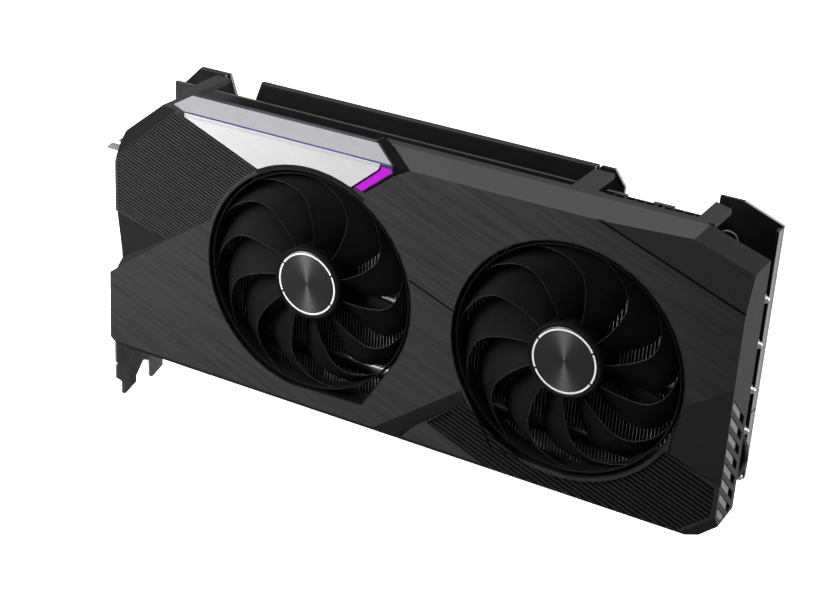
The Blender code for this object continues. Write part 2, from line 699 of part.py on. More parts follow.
def build_cooler(fin_material, copper, nickel):
    fins = bmesh.new()
    add_flat_prism(fins, fin_outline(), FIN_BOTTOM, FIN_TOP)
    stack = make_object("fin_stack", fins, fin_material)
    channels = bmesh.new()
    channel_half = PIPE_RADIUS + 0.7
    for z in FRONT_PIPE_HEIGHTS:
        add_box(channels, (FIN_LEFT - 5, FIN_RIGHT + 5), (5.0, FRONT_PIPE_DEPTH + 4.4),
                (z - channel_half, z + channel_half))
    cut(stack, channels, "cut_pipe_channels")

    middle = (len(PIPE_TAIL_HEIGHTS) - 1) / 2
    for number, tail_z in enumerate(PIPE_TAIL_HEIGHTS):
        plate_z = GPU_Z + (middle - number) * PIPE_PITCH_AT_PLATE
        left_z = GPU_Z + (middle - number) * 15.0
        path = [(PIPE_LEFT, PIPE_DEPTH, left_z), (-66.0, PIPE_DEPTH, left_z),
                (-44.0, PIPE_DEPTH, (left_z + plate_z) / 2), (-28.0, PIPE_DEPTH, plate_z),
                (14.0, PIPE_DEPTH, plate_z), (36.0, PIPE_DEPTH, (tail_z + plate_z) / 2),
                (58.0, PIPE_DEPTH, tail_z), (PIPE_RIGHT, PIPE_DEPTH, tail_z)]
        pipe = bmesh.new()
        add_tube(pipe, smooth_path(path, 2), PIPE_RADIUS)
        make_object(f"heat_pipe_{number + 1}", pipe, nickel)

    for number, z in enumerate(FRONT_PIPE_HEIGHTS):
        pipe = bmesh.new()
        ends = [(FRONT_PIPE_LEFT, FRONT_PIPE_DEPTH, z), (FRONT_PIPE_RIGHT, FRONT_PIPE_DEPTH, z)]
        add_tube(pipe, ends, PIPE_RADIUS, 12)
        make_object(f"front_heat_pipe_{number + 1}", pipe, nickel)

    plate = bmesh.new()
    half = 37.0
    outline = [(GPU_X - half, GPU_Z - half + 5), (GPU_X - half + 5, GPU_Z - half),
               (GPU_X + half - 5, GPU_Z - half), (GPU_X + half, GPU_Z - half + 5),
               (GPU_X + half, GPU_Z + half - 5), (GPU_X + half - 5, GPU_Z + half),
               (GPU_X - half + 5, GPU_Z + half), (GPU_X - half, GPU_Z + half - 5)]
    add_prism(plate, outline, PLATE_FRONT, PLATE_BACK)
    make_object("cold_plate", plate, copper)


def build_power_cooling(aluminium, pad_material):
    sink = bmesh.new()
    add_box(sink, (46.0, 60.0), (PLATE_FRONT + 0.2, 44.4), (-40.0, 34.0))
    make_object("regulator_heat_spreader", sink, aluminium)
    pad = bmesh.new()
    add_box(pad, (48.0, 58.0), (44.6, BOARD_FRONT - 0.2), (-38.0, 32.0))
    make_object("regulator_pad", pad, pad_material)


# Circuit board and what it carries

def board_outline():
    key_depth = 8.0
    contact_top = BOARD_BOTTOM
    notch = 1.2
    return [
        (BOARD_LEFT, BOARD_TOP), (BOARD_LEFT, BOARD_BOTTOM + 3.0), (BOARD_LEFT + 3.0, BOARD_BOTTOM),
        (SHORT_LEFT, contact_top), (SHORT_LEFT, CONTACT_BOTTOM + notch),
        (SHORT_LEFT + notch, CONTACT_BOTTOM),
        (KEY_X - KEY_WIDTH / 2 - 0.5, CONTACT_BOTTOM), (KEY_X - KEY_WIDTH / 2, CONTACT_BOTTOM + 0.5),
        (KEY_X - KEY_WIDTH / 2, CONTACT_BOTTOM + key_depth),
        (KEY_X + KEY_WIDTH / 2, CONTACT_BOTTOM + key_depth),
        (KEY_X + KEY_WIDTH / 2, CONTACT_BOTTOM),
        (LONG_RIGHT, CONTACT_BOTTOM), (LONG_RIGHT, contact_top),
        (LONG_RIGHT + 2.4, contact_top), (LONG_RIGHT + 2.4, CONTACT_BOTTOM + 3.5),
        (LONG_RIGHT + 7.4, CONTACT_BOTTOM + 3.5), (LONG_RIGHT + 9.0, CONTACT_BOTTOM + 6.0),
        (LONG_RIGHT + 9.0, BOARD_BOTTOM + 5.0),
        (BOARD_RIGHT - 3.0, BOARD_BOTTOM + 5.0), (BOARD_RIGHT, BOARD_BOTTOM + 8.0),
        (BOARD_RIGHT, 50.6), (134.8, 50.6), (134.8, 52.4), (126.3, 52.4), (126.3, 50.6),
        (115.3, 50.6), (115.3, 52.4), (106.5, 52.4), (106.5, 50.6), (98.0, 50.6), (96.0, BOARD_TOP),
    ]


RETENTION_HOLES = [(GPU_X + sx * 30.0, GPU_Z + sz * 30.0) for sx in (-1, 1) for sz in (-1, 1)]
CHIP_CENTRES = [(GPU_X - 29.5, GPU_Z + 12.0), (GPU_X - 29.5, GPU_Z - 12.0),
                (GPU_X + 29.5, GPU_Z + 12.0), (GPU_X + 29.5, GPU_Z - 12.0),
                (GPU_X - 10.0, GPU_Z + 28.8), (GPU_X + 10.0, GPU_Z + 28.8)]


def build_board(board_material, package_material, chip_material, pad_material):
    board = bmesh.new()
    add_prism(board, board_outline(), BOARD_FRONT, BOARD_BACK)
    board_object = make_object("circuit_board", board, board_material)
    holes = bmesh.new()
    for x, z in RETENTION_HOLES:
        add_disc(holes, x, z, 1.8, BOARD_FRONT - 2, BOARD_BACK + 2, 12)
    cut(board_object, holes, "cut_retention_holes")

    package = bmesh.new()
    half = GPU_SIZE / 2
    top = BOARD_FRONT - 0.2
    die_front = PLATE_BACK + 0.1
    substrate_front = top - 1.3
    add_box(package, (GPU_X - half, GPU_X + half), (substrate_front, top),
            (GPU_Z - half, GPU_Z + half))
    package_object = make_object("gpu_package", package, package_material)
    die = bmesh.new()
    add_box(die, (GPU_X - DIE_WIDTH / 2, GPU_X + DIE_WIDTH / 2), (die_front, top - 0.5),
            (GPU_Z - DIE_HEIGHT / 2, GPU_Z + DIE_HEIGHT / 2))
    join(package_object, die, "join_die")

    for number, (x, z) in enumerate(CHIP_CENTRES):
        upright = number < 4
        width = CHIP_HEIGHT if upright else CHIP_WIDTH
        height = CHIP_WIDTH if upright else CHIP_HEIGHT
        chip = bmesh.new()
        add_box(chip, (x - width / 2, x + width / 2), (top - CHIP_THICKNESS, top),
                (z - height / 2, z + height / 2))
        make_object(f"memory_chip_{number + 1}", chip, chip_material)
    pad_depths = (PLATE_BACK + 0.2, top - CHIP_THICKNESS - 0.2)
    pads = {
        "memory_pad_left": ((GPU_X - 34.5, GPU_X - 24.5), (GPU_Z - 18.0, GPU_Z + 18.0)),
        "memory_pad_right": ((GPU_X + 24.5, GPU_X + 34.5), (GPU_Z - 18.0, GPU_Z + 18.0)),
        "memory_pad_top": ((GPU_X - 16.0, GPU_X + 16.0), (GPU_Z + 23.8, GPU_Z + 33.8)),
    }
    for name, (x_range, z_range) in pads.items():
        pad = bmesh.new()
        add_box(pad, x_range, pad_depths, z_range)
        make_object(name, pad, pad_material)


def build_power_sockets(material):
    """Two eight-way sockets that open upwards behind the shroud's top wall."""
    width = 4 * SOCKET_PITCH + 2 * SOCKET_WALL
    depth_pitch = 4.2
    for name, left in SOCKET_LEFTS.items():
        body = bmesh.new()
        add_box(body, (left, left + width), (SOCKET_FRONT, SOCKET_BACK), (SOCKET_BOTTOM, SOCKET_TOP))
        socket = make_object("power_socket_" + name, body, material)
        cells = bmesh.new()
        for column in range(4):
            for row in range(2):
                cell_left = left + SOCKET_WALL + column * SOCKET_PITCH + 0.35
                cell_front = SOCKET_FRONT + 2.0 + row * depth_pitch + 0.35
                add_box(cells, (cell_left, cell_left + 3.5), (cell_front, cell_front + 3.5),
                        (SOCKET_BOTTOM + 2.4, SOCKET_TOP + 2.0))
        cut(socket, cells, "cut_cells_" + name)
        latch = bmesh.new()
        middle = left + width / 2
        latch_outline = [(SOCKET_FRONT + 0.4, SOCKET_TOP - 6.0), (SOCKET_FRONT - 1.4, SOCKET_TOP - 2.6),
                         (SOCKET_FRONT - 1.4, SOCKET_TOP - 1.4), (SOCKET_FRONT + 0.4, SOCKET_TOP - 1.0)]
        add_side_prism(latch, latch_outline, middle - 2.2, middle + 2.2)
        join(socket, latch, "join_latch_" + name)


# Bracket and its video sockets

PORTS = {
    # name: (middle height, length along z, reach in depth, opening length, opening reach)
    "display_socket_1": (11.5, 18.6, 7.6, 16.0, 4.8),
    "display_socket_2": (-9.0, 18.6, 7.6, 16.0, 4.8),
    "display_socket_3": (-29.5, 18.6, 7.6, 16.0, 4.8),
    "video_socket": (-49.0, 16.8, 7.2, 14.0, 4.5),
}
PORT_LENGTH = 18.0
PORT_BACK = BOARD_FRONT - 0.8


def bracket_outline():
    """The bracket plate with its two tongues, as a (depth, z) outline."""
    bottom = BRACKET_BOTTOM
    top = TAB_TOP - BRACKET_THICKNESS / 2
    outline = [(BRACKET_REAR, top), (BRACKET_BODY_FRONT, top), (BRACKET_BODY_FRONT, -44.0),
               (BRACKET_FRONT, -50.0)]
    front_tongue = REAR_TONGUE - SLOT_PITCH
    for middle in (front_tongue, REAR_TONGUE):
        if middle == front_tongue:
            outline += [(BRACKET_FRONT, bottom + 18.6), (BRACKET_FRONT + 1.6, bottom + 17.8),
                        (BRACKET_FRONT, bottom + 17.0), (BRACKET_FRONT, bottom + 10.6)]
            outline += [(middle - 5.1, bottom + 7.0)]
        outline += [(middle - 5.1, bottom + 1.2), (middle - 4.0, bottom), (middle - 2.2, bottom),
                    (middle + 5.1, bottom + 2.4), (middle + 5.1, bottom + 5.5)]
        if middle == front_tongue:
            outline += [(middle + 10.6, bottom + 11.5), (middle + 15.2, bottom + 9.2)]
        else:
            outline += [(BRACKET_REAR - 0.8, bottom + 8.0), (BRACKET_REAR, bottom + 10.6)]
    return outline


def build_bracket(material, socket_material):
    plate = bmesh.new()
    inner = BRACKET_X + BRACKET_THICKNESS
    add_side_prism(plate, bracket_outline(), BRACKET_X, inner)
    bracket = make_object("slot_bracket", plate, material)

    tab = bmesh.new()
    outer = BRACKET_X - TAB_LENGTH
    slot_half = 2.2
    slot_end = outer + 4.2
    front = BRACKET_BODY_FRONT + 0.1
    rear = BRACKET_REAR - 0.1
    outline = [(inner - 0.1, rear), (inner - 0.1, front), (outer + 1.0, front), (outer, front + 4.4)]
    for middle in (REAR_TONGUE - SLOT_PITCH, REAR_TONGUE):
        start = middle + 4.5
        outline += [(outer, start - slot_half), (slot_end, start - slot_half),
                    (slot_end, start + slot_half), (outer, start + slot_half)]
    outline += [(outer, rear - 2.0), (outer + 2.0, rear)]
    add_flat_prism(tab, outline, TAB_TOP - BRACKET_THICKNESS, TAB_TOP)
    join(bracket, tab, "join_tab")

    ear_depths = (BOARD_FRONT - 1.3, BOARD_FRONT - GAP)
    for name, z_range in {"top": (22.4, 25.8), "bottom": (-68.0, -60.0)}.items():
        ear = bmesh.new()
        add_box(ear, (inner - 0.3, inner + 14.0), ear_depths, z_range)
        join(bracket, ear, "join_board_ear_" + name)

    windows = bmesh.new()
    through = (BRACKET_X - 2, inner + 2)
    for middle_z, length, reach, _, _ in PORTS.values():
        half = length / 2 + GAP
        add_box(windows, through, (PORT_BACK - reach - GAP, PORT_BACK + GAP),
                (middle_z - half, middle_z + half))
    vent_front = BRACKET_BODY_FRONT + 4.2
    for index in range(11):
        z = 16.0 - 7.0 * index
        add_box(windows, through, (vent_front, vent_front + 10.0), (z - 2.0, z + 2.0))
    cut(bracket, windows, "cut_bracket_windows")

    for name, (middle_z, length, reach, hole_length, hole_reach) in PORTS.items():
        front = PORT_BACK - reach
        shell = bmesh.new()
        add_box(shell, (BRACKET_X - 0.3, BRACKET_X + PORT_LENGTH), (front, PORT_BACK),
                (middle_z - length / 2, middle_z + length / 2))
        port = make_object(name, shell, socket_material)
        middle = (front + PORT_BACK) / 2
        hole = bmesh.new()
        add_box(hole, (BRACKET_X - 3, BRACKET_X + PORT_LENGTH - 5.0),
                (middle - hole_reach / 2, middle + hole_reach / 2),
                (middle_z - hole_length / 2, middle_z + hole_length / 2))
        cut(port, hole, "cut_" + name)
        tongue = bmesh.new()
        tongue_thickness = 0.9
        add_box(tongue, (BRACKET_X + 2.0, BRACKET_X + PORT_LENGTH - 4.0),
                (middle - tongue_thickness / 2, middle + tongue_thickness / 2),
                (middle_z - hole_length / 2 + 2.0, middle_z + hole_length / 2 - 2.0))
        join(port, tongue, "join_tongue_" + name)


# Backplate and screws

def backplate_outline():
    return [
        (BACKPLATE_LEFT, 51.5), (BACKPLATE_LEFT, BACKPLATE_BOTTOM + 4.0),
        (BACKPLATE_LEFT + 4.0, BACKPLATE_BOTTOM), (175.5, BACKPLATE_BOTTOM),
        (BACKPLATE_RIGHT, BACKPLATE_BOTTOM + 1.5), (BACKPLATE_RIGHT, 54.2),
        (160.7, BACKPLATE_TOP), (151.0, BACKPLATE_TOP), (151.0, 40.0), (112.5, 40.0), (112.5, 54.0),
        (107.8, BACKPLATE_TOP), (101.8, BACKPLATE_TOP), (101.2, 58.4), (100.6, BACKPLATE_TOP),
        (-57.3, BACKPLATE_TOP), (-60.6, 51.0), (-70.4, 51.0), (-73.7, BACKPLATE_TOP),
        (-88.9, BACKPLATE_TOP),
    ]


def build_backplate(material):
    plate = bmesh.new()
    add_prism(plate, backplate_outline(), BACKPLATE_FRONT, BACKPLATE_BACK)
    backplate = make_object("backplate", plate, material)
    rim = 1.4
    overlap = BACKPLATE_FRONT + 0.6
    rims = bmesh.new()
    top_rim = (BACKPLATE_TOP - rim, BACKPLATE_TOP - 0.1)
    add_box(rims, (-56.0, 100.0), (RIM_FRONT, overlap), top_rim)
    add_box(rims, (-88.0, -75.0), (RIM_FRONT, overlap), top_rim)
    tail_rim = (BACKPLATE_RIGHT - rim - 0.1, BACKPLATE_RIGHT - 0.1)
    add_box(rims, tail_rim, (TAIL_RIM_FRONT, overlap), (-51.0, 53.5))
    join(backplate, rims, "join_rims")
    slits = bmesh.new()
    for z in TAIL_RIM_SLITS:
        add_box(slits, (tail_rim[0] - 1.0, tail_rim[1] + 1.0), (TAIL_RIM_FRONT - 1.0, BACKPLATE_FRONT - 0.2),
                (z - 0.35, z + 0.35))
    cut(backplate, slits, "cut_tail_rim_slits")

    vents = bmesh.new()
    left, right = 152.0, 171.0
    slant = 3.0
    height = 3.0
    for index in range(12):
        z = 32.0 - 6.0 * index
        vent = [(left, z), (right, z + slant), (right, z + slant + height), (left, z + height)]
        add_prism(vents, vent, *THROUGH_BACKPLATE)
    cut(backplate, vents, "cut_backplate_vents")

    window = bmesh.new()
    half = 36.5
    corner = 5.0
    outline = [(GPU_X - half + corner, GPU_Z - half), (GPU_X + half - corner, GPU_Z - half),
               (GPU_X + half, GPU_Z - half + corner), (GPU_X + half, GPU_Z + half - corner),
               (GPU_X + half - corner, GPU_Z + half), (GPU_X - half + corner, GPU_Z + half),
               (GPU_X - half, GPU_Z + half - corner), (GPU_X - half, GPU_Z - half + corner)]
    add_prism(window, outline, *THROUGH_BACKPLATE)
    cut(backplate, window, "cut_retention_window")


def build_retention(material, screw_material):
    """The sprung cross behind the chip, and the four screws that pull the cooler on."""
    depth = (BOARD_BACK + 0.9, BOARD_BACK + 2.1)
    cross = bmesh.new()
    half = 17.0
    add_box(cross, (GPU_X - half, GPU_X + half), depth, (GPU_Z - half, GPU_Z + half))
    bracket = make_object("retention_cross", cross, material)
    for number, (x, z) in enumerate(RETENTION_HOLES):
        along = Vector((x - GPU_X, z - GPU_Z)).normalized()
        across = Vector((-along.y, along.x)) * 4.0
        start = Vector((GPU_X, GPU_Z)) + along * 14.0
        end = Vector((x, z))
        corners = [start - across, end - across, end + across, start + across]
        arm = bmesh.new()
        add_prism(arm, [tuple(corner) for corner in corners], depth[0] + 0.05, depth[1] - 0.05)
        join(bracket, arm, f"join_cross_arm_{number}")
        tip = bmesh.new()
        add_disc(tip, x, z, 4.0, *depth, 10)
        join(bracket, tip, f"join_cross_tip_{number}")
    middle = bmesh.new()
    add_box(middle, (GPU_X - 9, GPU_X + 9), (40.0, 60.0), (GPU_Z - 9, GPU_Z + 9))
    cut(bracket, middle, "cut_cross_middle")
    holes = bmesh.new()
    for x, z in RETENTION_HOLES:
        add_disc(holes, x, z, 1.7, 40.0, 60.0, 12)
    cut(bracket, holes, "cut_cross_holes")

    for number, (x, z) in enumerate(RETENTION_HOLES):
        head = depth[1] + GAP
        sections = [(1.4, PLATE_BACK + GAP), (1.4, head), (3.0, head), (3.0, head + 1.4),
                    (2.5, head + 1.8)]
        screw = bmesh.new()
        add_stack(screw, x, z, sections, 12)
        make_object(f"retention_screw_{number + 1}", screw, screw_material)


def build():
    clear_scene()
    shroud_paint = make_material("shroud_plastic", (0.045, 0.045, 0.045), 0.45)
    black = make_material("fan_plastic", (0.02, 0.02, 0.021), 0.5)
    silver = make_material("silver_plate", (0.78, 0.78, 0.80), 0.32, 0.9)
    light = make_material("light_diffuser", (0.62, 0.02, 0.75), 0.3, 0.0, 2.0)
    board_green = make_material("board_laminate", (0.012, 0.013, 0.014), 0.4)
    fin_metal = make_material("fin_aluminium", (0.35, 0.35, 0.36), 0.35, 1.0)
    nickel = make_material("pipe_nickel", (0.7, 0.69, 0.67), 0.2, 1.0)
    copper = make_material("plate_copper", (0.72, 0.70, 0.67), 0.25, 1.0)
    steel = make_material("screw_steel", (0.4, 0.4, 0.41), 0.35, 1.0)
    bracket_steel = make_material("bracket_steel", (0.1, 0.1, 0.105), 0.4, 1.0)
    backplate_paint = make_material("backplate_paint", (0.06, 0.06, 0.062), 0.45, 0.6)
    pad_blue = make_material("pad_silicone", (0.35, 0.4, 0.45), 0.8)
    package_green = make_material("package_laminate", (0.03, 0.08, 0.05), 0.4)
    chip_black = make_material("chip_epoxy", (0.02, 0.02, 0.022), 0.5)
    socket_black = make_material("socket_nylon", (0.015, 0.015, 0.015), 0.45)
    cable_black = make_material("cable_sleeve", (0.02, 0.02, 0.02), 0.6)
    wire_grey = make_material("wire_insulation", (0.45, 0.44, 0.42), 0.4)
    motor_materials = {
        "cap": make_material("cap_metal", (0.05, 0.05, 0.055), 0.3, 0.8),
        "ferrite": make_material("magnet_ferrite", (0.05, 0.05, 0.05), 0.7),
        "steel": make_material("shaft_steel", (0.6, 0.6, 0.6), 0.2, 1.0),
        "bronze": make_material("bearing_bronze", (0.5, 0.3, 0.12), 0.35, 1.0),
        "winding": make_material("stator_winding", (0.6, 0.25, 0.1), 0.4, 0.7),
    }

    build_shroud(shroud_paint)
    build_trim(silver, light, board_green)
    for side in FANS:
        build_rotor(side, black)
        build_motor(side, motor_materials)
        build_fan_frame(side, black)
    build_cables(cable_black, wire_grey)
    build_cooler(fin_metal, copper, nickel)
    build_power_cooling(fin_metal, pad_blue)
    build_board(board_green, package_green, chip_black, pad_blue)
    build_power_sockets(socket_black)
    build_bracket(bracket_steel, nickel)
    build_backplate(backplate_paint)
    build_retention(steel, steel)


build()
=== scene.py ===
"""Looks of a two-fan graphics card: materials, fine pieces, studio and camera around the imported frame."""
import json
import math
import random

import bmesh
import bpy
from mathutils import Matrix, Vector


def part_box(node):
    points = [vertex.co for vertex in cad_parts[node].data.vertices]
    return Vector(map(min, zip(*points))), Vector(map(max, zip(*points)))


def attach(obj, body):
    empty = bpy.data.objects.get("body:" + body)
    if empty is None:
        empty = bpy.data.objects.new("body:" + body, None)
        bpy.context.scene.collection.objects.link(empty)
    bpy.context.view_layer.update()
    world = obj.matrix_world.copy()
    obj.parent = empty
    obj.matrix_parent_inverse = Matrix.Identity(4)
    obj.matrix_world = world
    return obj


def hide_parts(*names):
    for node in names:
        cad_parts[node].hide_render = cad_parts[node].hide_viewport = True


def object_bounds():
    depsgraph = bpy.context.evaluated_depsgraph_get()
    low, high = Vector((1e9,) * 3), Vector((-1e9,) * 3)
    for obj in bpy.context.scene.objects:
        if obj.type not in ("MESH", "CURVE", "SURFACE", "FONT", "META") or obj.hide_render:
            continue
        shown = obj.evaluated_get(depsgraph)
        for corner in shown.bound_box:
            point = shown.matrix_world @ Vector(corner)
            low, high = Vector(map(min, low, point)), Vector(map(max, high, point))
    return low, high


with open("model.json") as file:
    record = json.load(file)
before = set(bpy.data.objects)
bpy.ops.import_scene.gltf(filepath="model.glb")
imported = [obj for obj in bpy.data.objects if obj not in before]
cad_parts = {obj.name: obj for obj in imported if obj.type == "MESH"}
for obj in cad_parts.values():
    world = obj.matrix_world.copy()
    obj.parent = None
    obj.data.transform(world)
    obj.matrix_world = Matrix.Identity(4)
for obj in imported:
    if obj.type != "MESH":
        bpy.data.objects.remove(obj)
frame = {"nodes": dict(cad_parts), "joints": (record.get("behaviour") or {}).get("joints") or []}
cad_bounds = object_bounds()

MM = 0.001
AXES = {joint["child"]: Vector(joint["pos_m"]) for joint in frame["joints"]}
LEFT_AXIS = AXES["fan_left"]
FAN_PITCH = (AXES["fan_right"].x - LEFT_AXIS.x) / MM
FANS = {"left": 0.0, "right": FAN_PITCH}
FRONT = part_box("shroud")[0].y

CARD = "card"

# Sizes in millimetres, and angles in degrees but for GRAIN_ANGLE
GRAIN_ANGLE = math.radians(20.5)    # ribs, grooves and brushing run down to the right at this angle
OPENING_RADIUS = 48.5
RIB_RADIUS = 50.3                   # where the rib panels end round a fan opening
BLADES = 11
BLADE_START = {"left": 19.0, "right": 8.5}
HUB_RADIUS = 15.8
RING_OUTER = 47.3
RING_INNER = 46.4
HUB_RING_GAPS = (30.0, 150.0, 208.0, 332.0)     # middles of the gaps in a hub's silver ring
PIPE_TAILS = (29.0, 10.0, -9.5, -27.5, -48.0)   # heights of the rear pipes where they reach the tail
PLATE_PIPE_PITCH = 7.2              # rear pipes over the cold plate
LEFT_PIPE_PITCH = 15.0              # rear pipes at the bracket's end
FRONT_PIPE_RADIUS = 2.98
LONG_CONTACTS = 71.65               # the longer row of the contact edge, centred in the frame
KEY_NOTCH = 1.9                     # between the two rows of contacts
CONTACT_PITCH = 1.0
POWER_PIN_PITCH = 4.2


def along(x):
    return LEFT_AXIS.x + x * MM


def inward(depth):
    return FRONT + depth * MM


def at(x, depth, z):
    """Millimetres from the left fan's axis and the front face to metres in the shared frame."""
    return Vector((along(x), inward(depth), LEFT_AXIS.z + z * MM))


def local(point):
    """Metres in the shared frame to (x, depth, z) millimetres from the left fan's axis and the front face."""
    return ((point.x - LEFT_AXIS.x) / MM, (point.y - FRONT) / MM, (point.z - LEFT_AXIS.z) / MM)


def span(node):
    """Lowest and highest (x, depth, z) of a CAD node, in millimetres."""
    low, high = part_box(node)
    return local(low), local(high)


# Mesh helpers

def new_object(name, edit, material, body=CARD, angle=35.0):
    bmesh.ops.recalc_face_normals(edit, faces=edit.faces)
    mesh = bpy.data.meshes.new(name)
    edit.to_mesh(mesh)
    edit.free()
    mesh.materials.append(material)
    mesh.shade_smooth()
    mesh.set_sharp_from_angle(angle=math.radians(angle))
    obj = bpy.data.objects.new(name, mesh)
    bpy.context.scene.collection.objects.link(obj)
    if body is not None:
        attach(obj, body)
    return obj


def bevel(obj, width, segments=2, angle=40.0):
    modifier = obj.modifiers.new("bevel", "BEVEL")
    modifier.width = width * MM
    modifier.segments = segments
    modifier.limit_method = "ANGLE"
    modifier.angle_limit = math.radians(angle)
    modifier.harden_normals = False
    return obj


def loft(edit, rings, closed=False):
    """Skins rings of (x, depth, z) points, capping both ends or closing the loop."""
    loops = [[edit.verts.new(at(*point)) for point in ring] for ring in rings]
    count = len(loops[0])
    pairs = list(zip(loops, loops[1:]))
    if closed:
        pairs.append((loops[-1], loops[0]))
    for first, second in pairs:
        for i in range(count):
            j = (i + 1) % count
            edit.faces.new((first[i], first[j], second[j], second[i]))
    if not closed:
        edit.faces.new(loops[0][::-1])
        edit.faces.new(loops[-1])


def prism(edit, outline, front, back):
    """An (x, z) outline between two depths."""
    loft(edit, [[(x, depth, z) for x, z in outline] for depth in (front, back)])


def side_prism(edit, outline, left, right):
    """A (depth, z) outline between two places along the card."""
    loft(edit, [[(x, depth, z) for depth, z in outline] for x in (left, right)])


def flat_prism(edit, outline, bottom, top):
    """An (x, depth) outline between two heights."""
    loft(edit, [[(x, depth, z) for x, depth in outline] for z in (bottom, top)])


def block(edit, x0, x1, front, back, z0, z1):
    prism(edit, [(x0, z0), (x1, z0), (x1, z1), (x0, z1)], front, back)


def arc(radius, start, end, steps, centre=(0.0, 0.0)):
    angles = [math.radians(start + (end - start) * i / steps) for i in range(steps + 1)]
    return [(centre[0] + radius * math.cos(a), centre[1] + radius * math.sin(a)) for a in angles]


def turned(edit, profile, x, z, sides):
    """A closed (radius, depth) profile turned about the depth axis through (x, z)."""
    rings = []
    for i in range(sides):
        a = math.tau * i / sides
        rings.append([(x + r * math.cos(a), depth, z + r * math.sin(a)) for r, depth in profile])
    loft(edit, rings, closed=True)


def stack(edit, x, z, sections, sides):
    """A solid of (radius, depth) sections about the depth axis through (x, z)."""
    rings = []
    for radius, depth in sections:
        rings.append([(x + radius * math.cos(math.tau * i / sides), depth,
                       z + radius * math.sin(math.tau * i / sides)) for i in range(sides)])
    loft(edit, rings)


def tube(edit, path, radii, sides=20):
    """A round bar along (x, depth, z) points with one radius for each."""
    points = [Vector(point) for point in path]
    side = Vector((0.0, 1.0, 0.0))
    rings = []
    for i, point in enumerate(points):
        ahead = (points[min(i + 1, len(points) - 1)] - points[max(i - 1, 0)]).normalized()
        side = (side - ahead * side.dot(ahead)).normalized()
        up = ahead.cross(side)
        rings.append([tuple(point + radii[i] * (side * math.cos(a) + up * math.sin(a)))
                      for a in (math.tau * k / sides for k in range(sides))])
    loft(edit, rings)


def smooth_path(points, steps):
    """A path through the points, rounded as a Catmull-Rom curve."""
    points = [Vector(point) for point in points]
    padded = [2 * points[0] - points[1]] + points + [2 * points[-1] - points[-2]]
    path = []
    for a, b, c, d in zip(padded, padded[1:], padded[2:], padded[3:]):
        for i in range(steps):
            t = i / steps
            path.append(0.5 * (2 * b + (c - a) * t + (2 * a - 5 * b + 4 * c - d) * t ** 2
                               + (3 * b - a - 3 * c + d) * t ** 3))
    path.append(points[-1])
    return [tuple(point) for point in path]


def boolean(obj, edit, operation):
    """Cuts obj by, or clips it to, a closed mesh, and keeps only the result."""
    helper = new_object("helper", edit, obj.data.materials[0], None)
    modifier = obj.modifiers.new("boolean", "BOOLEAN")
    modifier.operation = operation
    modifier.solver = "EXACT"
    modifier.object = helper
    graph = bpy.context.evaluated_depsgraph_get()
    mesh = bpy.data.meshes.new_from_object(obj.evaluated_get(graph))
    obj.modifiers.remove(modifier)
    obj.data = mesh
    bpy.data.objects.remove(helper, do_unlink=True)
    mesh.shade_smooth()
    mesh.set_sharp_from_angle(angle=math.radians(30.0))


# Materials

BRUSH_TURN = (0.0, GRAIN_ANGLE, 0.0)


def scaled(colour, share):
    return tuple(c * share for c in colour)


